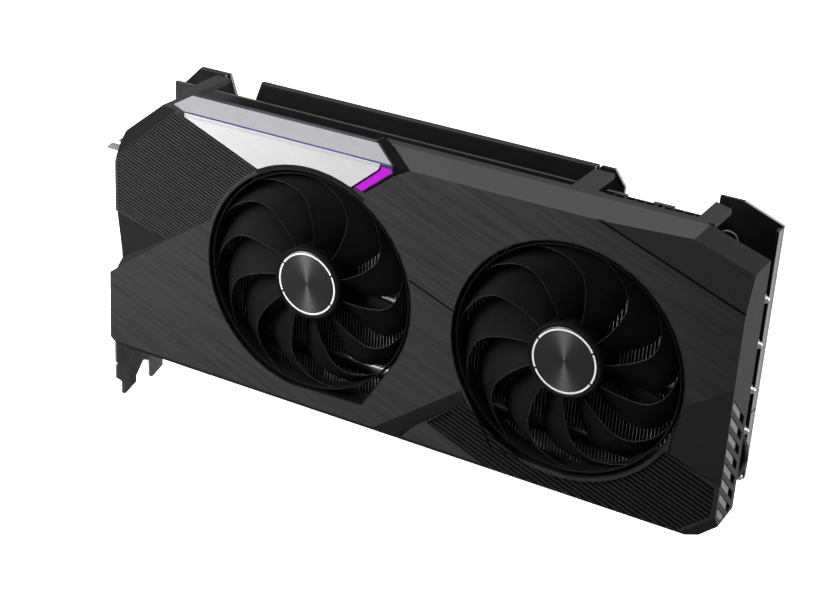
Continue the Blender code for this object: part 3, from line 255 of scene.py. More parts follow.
class Look:
    """A Principled material and the nodes that drive it. Lengths are in millimetres."""

    def __init__(self, name, colour, roughness, metallic=0.0, specular=0.5):
        self.material = bpy.data.materials.new(name)
        self.material.use_nodes = True
        self.tree = self.material.node_tree
        self.shader = self.tree.nodes["Principled BSDF"]
        self.set("Base Color", (*colour, 1.0))
        self.set("Roughness", roughness)
        self.set("Metallic", metallic)
        self.set("Specular IOR Level", specular)
        self.colour = colour

    def set(self, socket, value):
        target = self.shader.inputs[socket]
        if isinstance(value, bpy.types.NodeSocket):
            self.tree.links.new(value, target)
        else:
            target.default_value = value

    def node(self, kind, values=(), **properties):
        node = self.tree.nodes.new("ShaderNode" + kind)
        for key, value in properties.items():
            setattr(node, key, value)
        for key, value in dict(values).items():
            if isinstance(value, bpy.types.NodeSocket):
                self.tree.links.new(value, node.inputs[key])
            else:
                node.inputs[key].default_value = value
        return node

    def place(self, cell=(1.0, 1.0, 1.0), turn=(0.0, 0.0, 0.0)):
        """Object coordinates turned, then divided by a cell size."""
        source = self.node("TexCoord").outputs["Object"]
        size = [side * MM for side in cell]
        return self.node("Mapping", {"Vector": source, "Rotation": turn, "Scale": size},
                         vector_type="TEXTURE").outputs["Vector"]

    def parts(self):
        """The three object coordinates."""
        return self.node("SeparateXYZ", {0: self.node("TexCoord").outputs["Object"]}).outputs

    def noise(self, vector, scale=1.0, detail=2.0, roughness=0.5):
        values = {"Vector": vector, "Scale": scale, "Detail": detail, "Roughness": roughness}
        return self.node("TexNoise", values).outputs[0]

    def remap(self, value, low, high, to_low=0.0, to_high=1.0):
        values = {"Value": value, "From Min": low, "From Max": high, "To Min": to_low, "To Max": to_high}
        return self.node("MapRange", values, clamp=True).outputs[0]

    def math(self, operation, a, b=0.0):
        return self.node("Math", {0: a, 1: b}, operation=operation).outputs[0]

    def times(self, a, b):
        return self.math("MULTIPLY", a, b)

    def plus(self, a, b):
        return self.math("ADD", a, b)

    def mix(self, share, a, b):
        """Colour a where the share is 0, and colour b where it is 1."""
        node = self.node("Mix", {}, data_type="RGBA")
        sockets = {socket.identifier: socket for socket in node.inputs}
        for key, value in (("Factor_Float", share), ("A_Color", a), ("B_Color", b)):
            if isinstance(value, bpy.types.NodeSocket):
                self.tree.links.new(value, sockets[key])
            else:
                sockets[key].default_value = value if key == "Factor_Float" else (*value, 1.0)
        return {socket.identifier: socket for socket in node.outputs}["Result_Color"]

    def shade(self, value, low, high):
        """The base colour, darkened to low and brightened to high as value goes from 0 to 1."""
        return self.mix(value, scaled(self.colour, low), scaled(self.colour, high))

    def bump(self, height, strength, distance, normal=None):
        values = {"Height": height, "Strength": strength, "Distance": distance * MM}
        if normal is not None:
            values["Normal"] = normal
        return self.node("Bump", values).outputs[0]

    def rounded(self, radius):
        return self.node("Bevel", {"Radius": radius * MM}, samples=4).outputs[0]

    def facing(self, axis, least):
        """1 where the surface faces along the axis, to within a cosine."""
        normal = self.node("NewGeometry").outputs["True Normal"]
        dot = self.node("VectorMath", {0: normal, 1: axis}, operation="DOT_PRODUCT").outputs["Value"]
        return self.math("GREATER_THAN", dot, least)

    def edges(self, radius, low=0.02, high=0.25):
        """How close a point is to a sharp edge, from 0 to 1."""
        normal = self.node("NewGeometry").outputs["Normal"]
        dot = self.node("VectorMath", {0: normal, 1: self.rounded(radius)}, operation="DOT_PRODUCT")
        away = self.math("SUBTRACT", 1.0, dot.outputs["Value"])
        return self.remap(away, low, high)


def shroud_look():
    """Slanting brush lines on the flat front, a moulded grain on level faces and a darker one on facets, with
    painted shade on some top faces, on the right of the front and on one facet, and a painted highlight along
    the edges.
    """
    look = Look("shroud_plastic", (0.0235, 0.0232, 0.0228), 0.42, specular=0.1)
    front = look.facing((0.0, -1.0, 0.0), 0.9995)
    level = look.plus(look.facing((0.0, 0.0, 1.0), 0.99), look.facing((1.0, 0.0, 0.0), 0.99))
    fine = look.noise(look.place((26.0, 0.34, 0.34), BRUSH_TURN), detail=3.0, roughness=0.65)
    broad = look.noise(look.place((60.0, 2.6, 2.6), BRUSH_TURN), detail=2.0)
    streak = look.plus(look.times(fine, 0.72), look.times(broad, 0.28))
    streak = look.remap(streak, 0.33, 0.67)
    grain = look.noise(look.place((0.28, 0.28, 0.28)), detail=2.0, roughness=0.7)
    speckle = look.remap(grain, 0.35, 0.65)
    brushed = look.shade(streak, 0.6, 1.45)
    facet = look.mix(speckle, (0.0085, 0.0085, 0.0085), (0.0165, 0.0165, 0.0162))
    flat = look.mix(speckle, (0.0275, 0.0275, 0.0277), (0.0445, 0.0445, 0.0443))
    parts = look.parts()
    # Painted shade: faces that look straight up are darkened, except those less than 20 mm behind the front
    # and right of x = -40 mm.
    left = look.remap(parts["X"], along(-62.0), along(-40.0))
    behind = look.remap(parts["Y"], inward(20.0), inward(21.5), 1.0, 0.0)
    upward = look.facing((0.0, 0.0, 1.0), 0.99)
    painted_shade_top = look.times(upward, look.math("SUBTRACT", 1.0, look.times(left, behind)))
    flat = look.mix(painted_shade_top, flat, (0.0185, 0.0185, 0.0185))
    # Painted shade: the brushed front darkens towards the tail end.
    far = look.remap(parts["X"], along(95.0), along(185.0), 1.0, 0.6)
    brushed = look.mix(far, (0.0, 0.0, 0.0), brushed)
    # Painted shade: the facet facing forward, a little up and to the left, is darkened.
    facet = look.mix(look.facing((-0.18, -0.96, 0.21), 0.99), facet, (0.0055, 0.0055, 0.0055))
    colour = look.mix(front, look.mix(level, facet, flat), brushed)
    # Painted highlight: edges are lightened.
    tail_tone_and_painted_highlight = look.times(look.edges(0.4), 0.3)
    look.set("Base Color", look.mix(tail_tone_and_painted_highlight, colour, (0.05, 0.05, 0.05)))
    smooth = look.mix(front, (0.55, 0.55, 0.55), (0.38, 0.38, 0.38))
    rough = look.plus(look.times(streak, 0.12), smooth)
    look.set("Roughness", rough)
    height = look.mix(front, (0.5, 0.5, 0.5), (0.0, 0.0, 0.0))
    height = look.times(grain, height)
    height = look.plus(height, look.times(streak, look.times(front, 0.6)))
    look.set("Normal", look.bump(height, 0.35, 0.05, look.rounded(0.3)))
    plain = look.plus(front, level)
    look.set("Specular IOR Level", look.remap(plain, 0.0, 1.0, 0.045, 0.1))
    return look.material


def rib_look(name, colour, top, valley):
    """Ribbed plastic with dull valleys darkened as painted shade, between the depths of the ribs' tops and
    their feet.
    """
    look = Look(name, colour, 0.45, specular=0.12)
    fine = look.noise(look.place((8.0, 0.3, 0.3), BRUSH_TURN), detail=2.0, roughness=0.7)
    depth = look.parts()["Y"]
    # Painted shade: the deeper a point lies towards the valleys, the darker it is.
    share = look.remap(depth, inward(top + 0.15), inward(valley))
    ridge = look.shade(look.remap(fine, 0.35, 0.65), 0.8, 1.5)
    look.set("Base Color", look.mix(share, ridge, scaled(colour, 0.12)))
    look.set("Roughness", look.remap(share, 0.0, 1.0, 0.45, 0.9))
    look.set("Specular IOR Level", look.remap(share, 0.0, 1.0, 0.14, 0.0))
    look.set("Normal", look.bump(fine, 0.3, 0.04))
    return look.material


def plastic_look(name, colour, roughness, grain=0.3, bump=0.3, spread=(0.75, 1.3), specular=0.15, cell=None):
    """Moulded plastic or rubber with a fine grain and slow cloudy variation."""
    look = Look(name, colour, roughness, specular=specular)
    fine = look.noise(look.place(cell or (grain, grain, grain)), detail=2.0, roughness=0.7)
    cloud = look.noise(look.place((9.0, 9.0, 9.0)), detail=2.0)
    both = look.plus(look.times(fine, 0.5), look.times(cloud, 0.5))
    look.set("Base Color", look.shade(look.remap(both, 0.35, 0.65), *spread))
    look.set("Roughness", look.remap(cloud, 0.3, 0.7, roughness - 0.05, roughness + 0.07))
    look.set("Normal", look.bump(fine, bump, 0.04))
    return look.material


def fan_look():
    """Matt black moulding with a fine speckle and a painted highlight that lightens its edges."""
    look = Look("fan_plastic", (0.0034, 0.0034, 0.0035), 0.62, specular=0.04)
    fine = look.noise(look.place((0.5, 0.5, 0.5)), detail=2.0, roughness=0.8)
    cloud = look.noise(look.place((9.0, 9.0, 9.0)), detail=2.0)
    both = look.plus(look.times(fine, 0.7), look.times(cloud, 0.3))
    body = look.shade(look.remap(both, 0.35, 0.65), 0.45, 1.6)
    # Painted highlight: edges, the blades' front edges among them, are lightened.
    look.set("Base Color", look.mix(look.times(look.edges(0.5, 0.04, 0.3), 0.85), body,
                                    (0.055, 0.055, 0.055)))
    look.set("Roughness", look.remap(cloud, 0.3, 0.7, 0.58, 0.7))
    look.set("Normal", look.bump(fine, 0.3, 0.04))
    return look.material


def metal_look(name, colour, roughness, cell=(14.0, 0.25, 0.25), turn=(0.0, 0.0, 0.0), spread=(0.82, 1.12),
               bump=0.25, metallic=1.0):
    """Drawn or brushed metal: long fine scratches, with dull patches."""
    look = Look(name, colour, roughness, metallic)
    lines = look.noise(look.place(cell, turn), detail=3.0, roughness=0.6)
    patch = look.noise(look.place((6.0, 6.0, 6.0)), detail=3.0)
    look.set("Base Color", look.shade(look.remap(lines, 0.3, 0.7), *spread))
    rough = look.plus(look.remap(lines, 0.3, 0.7, -0.06, 0.08), look.remap(patch, 0.3, 0.7, 0.0, 0.1))
    look.set("Roughness", look.plus(rough, roughness))
    look.set("Normal", look.bump(lines, bump, 0.02))
    return look.material


def two_face_look(name, face, edge, roughness, cell, metallic, tail, outer):
    """A sheet across the depth axis, with colours for its two faces, its cut edges and its tail end."""
    look = Look(name, face, roughness, metallic, specular=0.08)
    broad = look.plus(look.facing((0.0, -1.0, 0.0), 0.9), look.facing((0.0, 1.0, 0.0), 0.9))
    lines = look.noise(look.place(cell), detail=3.0, roughness=0.6)
    share = look.remap(lines, 0.32, 0.68)
    shown = look.mix(share, scaled(outer, 0.7), scaled(outer, 1.35))
    face_colour = look.mix(look.facing((0.0, 1.0, 0.0), 0.9), look.shade(share, 0.7, 1.35), shown)
    edge_colour = look.mix(share, scaled(edge, 0.8), scaled(edge, 1.15))
    tail_tone_and_painted_highlight = look.mix(share, scaled(tail, 0.8), scaled(tail, 1.2))
    edge_colour = look.mix(look.facing((1.0, 0.0, 0.0), 0.3), edge_colour, tail_tone_and_painted_highlight)
    look.set("Base Color", look.mix(broad, edge_colour, face_colour))
    look.set("Roughness", look.remap(lines, 0.3, 0.7, roughness - 0.05, roughness + 0.08))
    look.set("Normal", look.bump(lines, 0.25, 0.03))
    return look.material


def board_look():
    """Black solder mask over faint copper runs, and a bare glass fibre edge."""
    look = Look("board_laminate", (0.010, 0.011, 0.012), 0.32)
    broad = look.plus(look.facing((0.0, -1.0, 0.0), 0.9), look.facing((0.0, 1.0, 0.0), 0.9))
    warp = look.noise(look.place((22.0, 22.0, 22.0)), detail=0.0)
    waves = look.node("TexWave", {"Vector": look.place((6.0, 6.0, 6.0), (0.0, math.radians(45.0), 0.0)),
                                  "Scale": 1.4, "Distortion": look.times(warp, 9.0)},
                      wave_type="BANDS", bands_direction="Z").outputs[0]
    runs = look.remap(waves, 0.55, 0.75)
    fibre = look.noise(look.place((0.5, 0.5, 3.0)), detail=2.0)
    mask = look.mix(runs, (0.004, 0.0045, 0.005), (0.010, 0.011, 0.012))
    edge = look.mix(fibre, (0.028, 0.024, 0.017), (0.07, 0.058, 0.038))
    look.set("Base Color", look.mix(broad, edge, mask))
    look.set("Roughness", look.remap(broad, 0.0, 1.0, 0.7, 0.3))
    look.set("Normal", look.bump(runs, 0.4, 0.03))
    return look.material


def glow_look(name, colour, strength, edge=0.0):
    """A lit diffuser with slow variation and, where edge is not 0, a darker border that wide."""
    look = Look(name, (0.006, 0.003, 0.006), 0.6, specular=0.03)
    cloud = look.noise(look.place((3.0, 3.0, 3.0)), detail=1.0)
    tint = look.mix(look.remap(cloud, 0.3, 0.7), scaled(colour, 0.88), colour)
    look.set("Emission Color", tint)
    power = strength
    if edge:
        power = look.remap(look.edges(edge, 0.01, 0.12), 0.0, 1.0, strength, strength * 0.12)
    look.set("Emission Strength", power)
    look.set("Normal", look.bump(cloud, 0.1, 0.05))
    return look.material


def fin_look():
    """Thin sheet: cut edges towards the fans lightened as a painted highlight, darker broad sides."""
    look = Look("fin_aluminium", (0.6, 0.6, 0.6), 0.34)
    edge = look.facing((0.0, -1.0, 0.0), 0.9)
    lines = look.noise(look.place((0.3, 1.2, 14.0)), detail=3.0, roughness=0.6)
    lines = look.remap(lines, 0.3, 0.7)
    side = look.mix(lines, (0.04, 0.04, 0.041), (0.12, 0.12, 0.122))
    # Painted highlight: the edges facing the fans are much lighter than the sides.
    fin_edge_highlight = look.mix(lines, (0.26, 0.26, 0.26), (0.62, 0.62, 0.62))
    look.set("Base Color", look.mix(edge, side, fin_edge_highlight))
    look.set("Metallic", look.remap(edge, 0.0, 1.0, 0.9, 0.5))
    look.set("Roughness", look.remap(lines, 0.0, 1.0, 0.3, 0.42))
    look.set("Normal", look.bump(lines, 0.2, 0.02))
    return look.material


def spun_look(name, colour, roughness, x):
    """Metal turned on a lathe about a fan's axis, with a soft painted highlight streak on two sides."""
    look = Look(name, colour, roughness, 0.6, specular=0.3)
    centre = at(x, 0.0, 0.0)
    source = look.node("TexCoord").outputs["Object"]
    moved = look.node("VectorMath", {0: source, 1: tuple(centre)}, operation="SUBTRACT").outputs[0]
    parts = look.node("SeparateXYZ", {0: moved}).outputs
    angle = look.math("ARCTAN2", parts["Z"], parts["X"])
    squares = look.plus(look.times(parts["X"], parts["X"]),
                        look.times(parts["Z"], parts["Z"]))
    radius = look.times(look.math("SQRT", squares), 1.0 / MM)
    turns = {0: look.times(radius, 3.2), 1: look.times(angle, 0.4)}
    grooves = look.noise(look.node("CombineXYZ", turns).outputs[0], detail=3.0)
    # Painted highlight: a streak above and below the axis, in the base colour.
    swing = look.math("ABSOLUTE", look.math("SINE", look.math("SUBTRACT", angle, 0.1)))
    streak = look.math("POWER", swing, 26.0)
    halo = look.math("POWER", swing, 5.0)
    lit = look.plus(look.times(streak, 0.62), look.times(halo, 0.16))
    lit = look.times(lit, look.remap(grooves, 0.3, 0.7, 0.85, 1.15))
    look.set("Base Color", look.mix(lit, colour, scaled(colour, 7.5)))
    look.set("Roughness", look.remap(grooves, 0.3, 0.7, roughness - 0.06, roughness + 0.08))
    look.set("Normal", look.bump(grooves, 0.2, 0.02))
    return look.material


LOOKS = {
    "shroud": shroud_look(),
    "rib_left": rib_look("rib_plastic_left", (0.0205, 0.0205, 0.0203), 0.08, 0.66),
    "rib_right": rib_look("rib_plastic_right", (0.008, 0.008, 0.008), 0.75, 1.5),
    "band": plastic_look("band_plastic", (0.0026, 0.0026, 0.0026), 0.8, specular=0.03),
    # Painted shade for the floors of the grooves.
    "rim": plastic_look("rim_plastic", (0.003, 0.003, 0.003), 0.32, grain=0.5, bump=0.1),
    "line": plastic_look("groove_shade_black", (0.002, 0.002, 0.002), 0.6, specular=0.05),
    "fan": fan_look(),
    "frame": plastic_look("frame_plastic", (0.005, 0.005, 0.005), 0.55, specular=0.15),
    "silver": metal_look("silver_plate", (0.42, 0.42, 0.425), 0.45, (18.0, 0.22, 0.22), BRUSH_TURN,
                         (0.94, 1.04), 0.12, 0.35),
    # Painted shade: the top plate's silver is a darker, slightly bluer copy of the front plate's.
    "silver_top": metal_look("silver_top_plate", (0.285, 0.285, 0.304), 0.45, (18.0, 0.22, 0.22),
                             (0.0, 0.0, -GRAIN_ANGLE), (0.92, 1.06), 0.12, 0.35),
    "vent": plastic_look("vent_plate", (0.02, 0.02, 0.02), 0.5, grain=0.5),
    "window": metal_look("window_fill", (0.165, 0.16, 0.152), 0.5, (0.3, 12.0, 0.3), spread=(0.9, 1.1),
                         metallic=0.2),
    "light": glow_look("light_diffuser", (0.58, 0.014, 0.75), 1.0, 0.5),
    "seam": glow_look("light_seam", (0.20, 0.14, 0.55), 0.75),
    "ring": metal_look("hub_ring_silver", (0.80, 0.80, 0.79), 0.35, (0.6, 0.6, 0.6), spread=(0.94, 1.05),
                       bump=0.05, metallic=0.3),
    "fin": fin_look(),
    "nickel": metal_look("pipe_nickel", (0.50, 0.49, 0.47), 0.24, (12.0, 0.5, 0.5), spread=(0.9, 1.1),
                         bump=0.03),
    "dull_nickel": metal_look("front_pipe_nickel", (0.24, 0.235, 0.225), 0.3, (12.0, 0.5, 0.5),
                              spread=(0.85, 1.1), bump=0.03),
    "plate": metal_look("plate_nickel", (0.60, 0.59, 0.57), 0.28, (0.3, 0.3, 10.0)),
    "steel": metal_look("screw_steel", (0.42, 0.42, 0.43), 0.32, (0.5, 0.5, 0.5)),
    "gold": metal_look("contact_gold", (0.80, 0.56, 0.22), 0.25, (0.3, 0.3, 3.0), spread=(0.9, 1.08),
                       bump=0.08),
    "bracket": plastic_look("bracket_paint", (0.125, 0.125, 0.127), 0.4, grain=0.4, bump=0.25,
                            spread=(0.7, 1.5)),
    "backplate": two_face_look("backplate_anodised", (0.0055, 0.0055, 0.0056), (0.022, 0.022, 0.0222), 0.5,
                               (16.0, 16.0, 0.28), metallic=0.1, tail=(0.20, 0.198, 0.195),
                               outer=(0.020, 0.020, 0.0203)),
    "board": board_look(),
    "pad": plastic_look("pad_silicone", (0.28, 0.33, 0.38), 0.75, grain=0.8),
    "package": plastic_look("package_laminate", (0.02, 0.06, 0.035), 0.4, grain=0.6),
    "chip": plastic_look("chip_epoxy", (0.012, 0.012, 0.013), 0.5, grain=0.25),
    "socket": plastic_look("socket_nylon", (0.008, 0.008, 0.0082), 0.42, grain=0.5),
    "cable": plastic_look("cable_sleeve", (0.008, 0.008, 0.008), 0.5, cell=(0.5, 0.5, 0.5), bump=0.5),
    "wire": plastic_look("wire_insulation", (0.10, 0.097, 0.09), 0.5, grain=0.6),
    "ferrite": plastic_look("magnet_ferrite", (0.03, 0.03, 0.03), 0.65, grain=0.2),
    "bronze": metal_look("bearing_bronze", (0.5, 0.3, 0.12), 0.4, (0.4, 0.4, 0.4)),
    "winding": metal_look("stator_winding", (0.6, 0.25, 0.1), 0.4, (0.4, 6.0, 0.4)),
    "choke": plastic_look("choke_ferrite", (0.045, 0.046, 0.048), 0.55, grain=0.4, spread=(0.6, 1.5)),
    "ceramic": plastic_look("ceramic_chip", (0.30, 0.20, 0.11), 0.5, grain=0.5),
}


def piece(name, edit, look, body=CARD, angle=35.0, node=None):
    """A fine piece with its look and material slot. Where a node is given, it stands for that CAD node."""
    obj = new_object(name, edit, LOOKS[look], body, angle)
    if node is not None:
        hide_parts(node)
    return obj


def carry_over():
    """Materials for the CAD nodes that stay in view."""
    looks = {
        "shroud": "shroud", "accent_plate_front": "silver", "accent_plate_top": "silver_top",
        "light_bar": "light", "light_board": "board", "tail_vent_plate": "vent",
        "circuit_board": "board", "cold_plate": "plate", "gpu_package": "package",
        "regulator_heat_spreader": "fin", "regulator_pad": "pad", "retention_cross": "steel",
        "slot_bracket": "bracket", "backplate": "backplate", "video_socket": "nickel",
    }
    starts = {
        "display_socket_": "nickel", "fan_bearing_": "bronze", "fan_frame_": "frame", "fan_shaft_": "steel",
        "fan_stator_": "winding", "heat_pipe_": "nickel", "front_heat_pipe": "nickel", "hub_cap_": "frame",
        "memory_chip_": "chip", "memory_pad_": "pad", "power_socket_": "socket",
        "retention_screw_": "steel", "rotor_magnet_": "ferrite", "fan_rotor_": "fan", "fin_stack": "fin",
        "fan_cable_": "cable", "light_cable": "wire",
    }
    for name, obj in frame["nodes"].items():
        key = looks.get(name) or [look for start, look in starts.items() if name.startswith(start)][0]
        obj.data.materials.clear()
        obj.data.materials.append(LOOKS[key])
    for name in ("accent_plate_front", "accent_plate_top", "light_bar"):
        bevel(frame["nodes"][name], 0.15)


# Fans

def blade_sweep(radius):
    """Degrees that a blade's front edge leads its root, growing towards the tip."""
    reach = max((radius - 16.0) / 18.4, 0.0)
    tip = max(radius - 30.0, 0.0) / 16.5
    return 8.8 * reach ** 1.15 + 22.0 * tip ** 3


def blade_section(x, radius, start, steps):
    """One closed section of a blade: front side out, back side home, with a rounded front edge."""
    front_edge, rise, belly = 1.9, 7.2, 0.35
    lead = start + blade_sweep(radius)
    chord = 26.0 + 1.5 * (radius - HUB_RADIUS) / (RING_OUTER - HUB_RADIUS)
    front, back = [], []
    for i in range(steps + 1):
        share = i / steps
        angle = math.radians(lead - chord * share)
        depth = front_edge + rise * share ** 0.85 - belly * math.sin(math.pi * share)
        thick = 0.42 + 0.8 * math.sin(math.pi * min(share * 1.15, 1.0)) ** 0.8
        px = x + radius * math.cos(angle)
        pz = radius * math.sin(angle)
        front.append((px, depth, pz))
        back.append((px, depth + thick, pz))
    nose = math.radians(lead + 0.45)
    tip = (x + radius * math.cos(nose), front_edge + 0.26, radius * math.sin(nose))
    return [tip] + front + back[::-1]


def build_rotor(side):
    x = FANS[side]
    body = "fan_" + side
    edit = bmesh.new()
    steps = 12
    root = HUB_RADIUS - 0.4
    tip = RING_INNER + 0.3
    radii = [root + (tip - root) * i / 15 for i in range(16)]
    for i in range(BLADES):
        start = BLADE_START[side] + 360.0 * i / BLADES
        loft(edit, [blade_section(x, radius, start, steps) for radius in radii])
    piece("fan_blades_" + side, edit, "fan", body, 50.0, node="fan_rotor_" + side)

    edit = bmesh.new()
    profile = [(RING_INNER, 1.35), (RING_INNER + 0.15, 1.08), (RING_INNER + 0.45, 1.0),
               (RING_OUTER - 0.15, 1.08), (RING_OUTER, 1.35), (RING_OUTER, 8.5), (RING_OUTER - 0.15, 8.6),
               (RING_INNER, 8.6)]
    turned(edit, profile, x, 0.0, 160)
    piece("fan_ring_" + side, edit, "fan", body, 50.0)

    edit = bmesh.new()
    cup = [(14.25, 0.42), (14.35, 0.18), (14.6, 0.1), (15.05, 0.12), (15.4, 0.32), (15.7, 0.75),
           (HUB_RADIUS, 1.3), (HUB_RADIUS, 10.2), (14.8, 10.2), (14.8, 1.8), (2.6, 1.8), (2.6, 0.6),
           (14.25, 0.6)]
    turned(edit, cup, x, 0.0, 96)
    piece("fan_hub_" + side, edit, "fan", body, 40.0)

    edit = bmesh.new()
    stack(edit, x, 0.0, [(13.6, 0.02), (13.85, 0.06), (14.0, 0.18), (14.0, 0.45)], 96)
    spun = spun_look("spun_cap_" + side, (0.019, 0.019, 0.0198), 0.4, x)
    cap = new_object("hub_disc_" + side, edit, spun, body, 30.0)
    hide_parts("hub_cap_" + side)

    edit = bmesh.new()
    half_gap = 1.9
    for gap, following in zip(HUB_RING_GAPS, HUB_RING_GAPS[1:] + (HUB_RING_GAPS[0] + 360.0,)):
        start = gap + half_gap
        end = following - half_gap
        sides = int((end - start) / 4)
        outer = arc(13.42, start, end, sides, (x, 0.0))
        inner = arc(12.72, start, end, sides, (x, 0.0))
        prism(edit, outer + inner[::-1], -0.04, 0.1)
    piece("hub_ring_" + side, edit, "ring", body, 40.0)


# Front trim

def opening_outline(side, radius, steps):
    """A round fan opening with one straight-sided corner at its lower inner edge."""
    grown = radius - OPENING_RADIUS
    sign = 1 if side == "left" else -1
    corner = (28.0 + 0.8 * grown, -47.0 - 1.3 * grown)
    outline = arc(radius, -27, 263, steps) + [corner]
    placed = [(FANS[side] + sign * x, z) for x, z in outline]
    return placed if sign > 0 else placed[::-1]


def build_rims():
    """The black liner of each fan opening."""
    profile = [(-0.15, 7.0), (-0.15, 0.25), (-0.08, 0.02), (0.05, -0.05), (0.3, -0.05), (0.4, 0.1),
               (0.4, 7.0)]
    for side in FANS:
        edit = bmesh.new()
        rings = []
        for offset, depth in profile:
            outline = opening_outline(side, OPENING_RADIUS + offset, 110)
            rings.append([(x, depth, z) for x, z in outline])
        loft(edit, rings, closed=True)
        piece("opening_rim_" + side, edit, "rim", angle=40.0)


def shrink(outline, distance):
    """The outline moved inwards. It runs anticlockwise in (x, z)."""
    moved = []
    count = len(outline)
    for i in range(count):
        before = Vector(outline[i - 1])
        here = Vector(outline[i])
        after = Vector(outline[(i + 1) % count])
        first = (here - before).normalized()
        second = (after - here).normalized()
        first_in = Vector((-first.y, first.x))
        bisector = (first_in + Vector((-second.y, second.x))).normalized()
        moved.append(tuple(here + bisector * distance / bisector.dot(first_in)))
    return moved


def rib_panel(name, outline, pitch, top, valley, back, look):
    """Slanting ribs, clipped to a panel outline."""
    grain = Vector((math.cos(GRAIN_ANGLE), -math.sin(GRAIN_ANGLE)))
    across = Vector((math.sin(GRAIN_ANGLE), math.cos(GRAIN_ANGLE)))
    reach = [Vector(point).dot(across) for point in outline]
    run = [Vector(point).dot(grain) for point in outline]
    low = min(reach) - pitch
    count = int((max(reach) - low) / pitch) + 2
    profile = [(low, back)]
    for i in range(count):
        foot = low + i * pitch
        profile += [(foot, valley), (foot + 0.26 * pitch, valley), (foot + 0.42 * pitch, top),
                    (foot + 0.84 * pitch, top)]
    profile += [(low + count * pitch, valley), (low + count * pitch, back)]
    edit = bmesh.new()
    rings = []
    for distance in (min(run) - 2.0, max(run) + 2.0):
        ring = []
        for offset, depth in profile:
            spot = grain * distance + across * offset
            ring.append((spot.x, depth, spot.y))
        rings.append(ring)
    loft(edit, rings)
    ribs = piece(name, edit, look, angle=20.0)
    clip = bmesh.new()
    prism(clip, outline, top - 2.0, back + 2.0)
    boolean(ribs, clip, "INTERSECT")


def build_ribs():
    edge = arc(RIB_RADIUS, 119, 161.5, 16)
    left = [(-66.0, 58.6), (-63.2, 58.3)] + edge + [(-70.5, 0.4), (-95.6, 8.2), (-95.6, 33.6)]
    rib_panel("rib_panel_left", shrink(left, 0.12), 1.45, 0.08, 0.66, 0.78, "rib_left")
    edge = arc(RIB_RADIUS, 229, 331, 40, (FAN_PITCH, 0.0))
    right = ([(58.5, -45.3), (76.0, -30.5)] + edge
             + [(180.6, -32.9), (180.6, -46.0), (167.5, -57.0), (88.0, -57.0)])
    rib_panel("rib_panel_right", shrink(right, 0.12), 1.9, 0.75, 1.5, 1.58, "rib_right")


def build_front_lines():
    """The dark band beside the light bar, and the lit line and lips between the two silver plates."""
    edit = bmesh.new()
    top_z = span("light_bar")[1][2] + 1.36
    edge = [(36.9, top_z), (37.2, 57.2), (24.5, 46.5), (24.9, 46.1), (37.8, 56.5), (44.6, top_z)]
    prism(edit, edge, -0.10, 0.06)
    piece("accent_band_front", edit, "band")
    edit = bmesh.new()
    flat_prism(edit, [(37.6, 0.0), (44.6, 0.0), (27.0, 18.3), (18.9, 25.0), (18.3, 18.4), (20.4, 18.4)],
               top_z - 0.02, top_z + 0.14)
    piece("accent_band_top", edit, "band")
    edit = bmesh.new()
    block(edit, -58.0, 36.2, -0.07, 0.74, 59.98, 60.3)
    piece("light_seam", edit, "seam")
    edit = bmesh.new()
    block(edit, -61.0, 31.2, -0.05, 0.2, 58.52, 59.0)
    block(edit, -61.0, 31.4, -0.05, 0.5, 59.1, 59.95)
    piece("accent_lip", edit, "silver")
    # Painted shadow: a black band round the top of the left opening, below the silver plate.
    edit = bmesh.new()
    outer = arc(OPENING_RADIUS + 1.95, 60.0, 121.0, 30)
    inner = arc(OPENING_RADIUS + 0.45, 121.0, 60.0, 30)
    prism(edit, outer + inner, -0.05, 0.3)
    piece("opening_shadow_band", edit, "rim")


def build_groove_lines():
    """Black strips along the floors of the two slanting grooves of the front, as painted shade."""
    edit = bmesh.new()
    prism(edit, [(123.4, 59.75), (123.6, 60.2), (182.3, 39.0), (182.3, 38.45)], 0.3, 0.89)
    prism(edit, [(47.4, 15.0), (47.1, 14.4), (67.2, 6.85), (67.45, 7.4)], 0.3, 0.88)
    piece("groove_shade_strips", edit, "line")


def build_window_fill():
    """Light grey panels just inside the slanted windows of the tail wall."""
    outer = span("shroud")[1][0] - 0.4
    front, back, floor, fall = 1.7, 13.0, -51.0, 0.9
    highest, pitch, height, gap = 4.2, 6.55, 3.58, 0.06
    edit = bmesh.new()
    for index in range(8):
        top = highest - pitch * index - gap
        bottom = top - height
        top_back = min(back, front + (top - floor) / fall)
        bottom_back = min(back, front + (bottom - floor) / fall)
        outline = [(front, top), (front, bottom), (bottom_back, bottom - fall * (bottom_back - front)),
                   (top_back, top - fall * (top_back - front))]
        side_prism(edit, outline, outer - 0.4, outer)
    piece("window_fill", edit, "window")


# Cooler

(FIN_LEFT, FIN_FRONT, FIN_BOTTOM), (FIN_RIGHT, FIN_BACK, FIN_TOP) = span("fin_stack")


def front_pipes():
    """Names and middle heights of the pipes that cross the front of the fins."""
    found = []
    for name in sorted(frame["nodes"]):
        if name.startswith("front_heat_pipe"):
            low, high = span(name)
            found.append((name, (low[2] + high[2]) / 2, (low[1] + high[1]) / 2, low[0], high[0]))
    return found


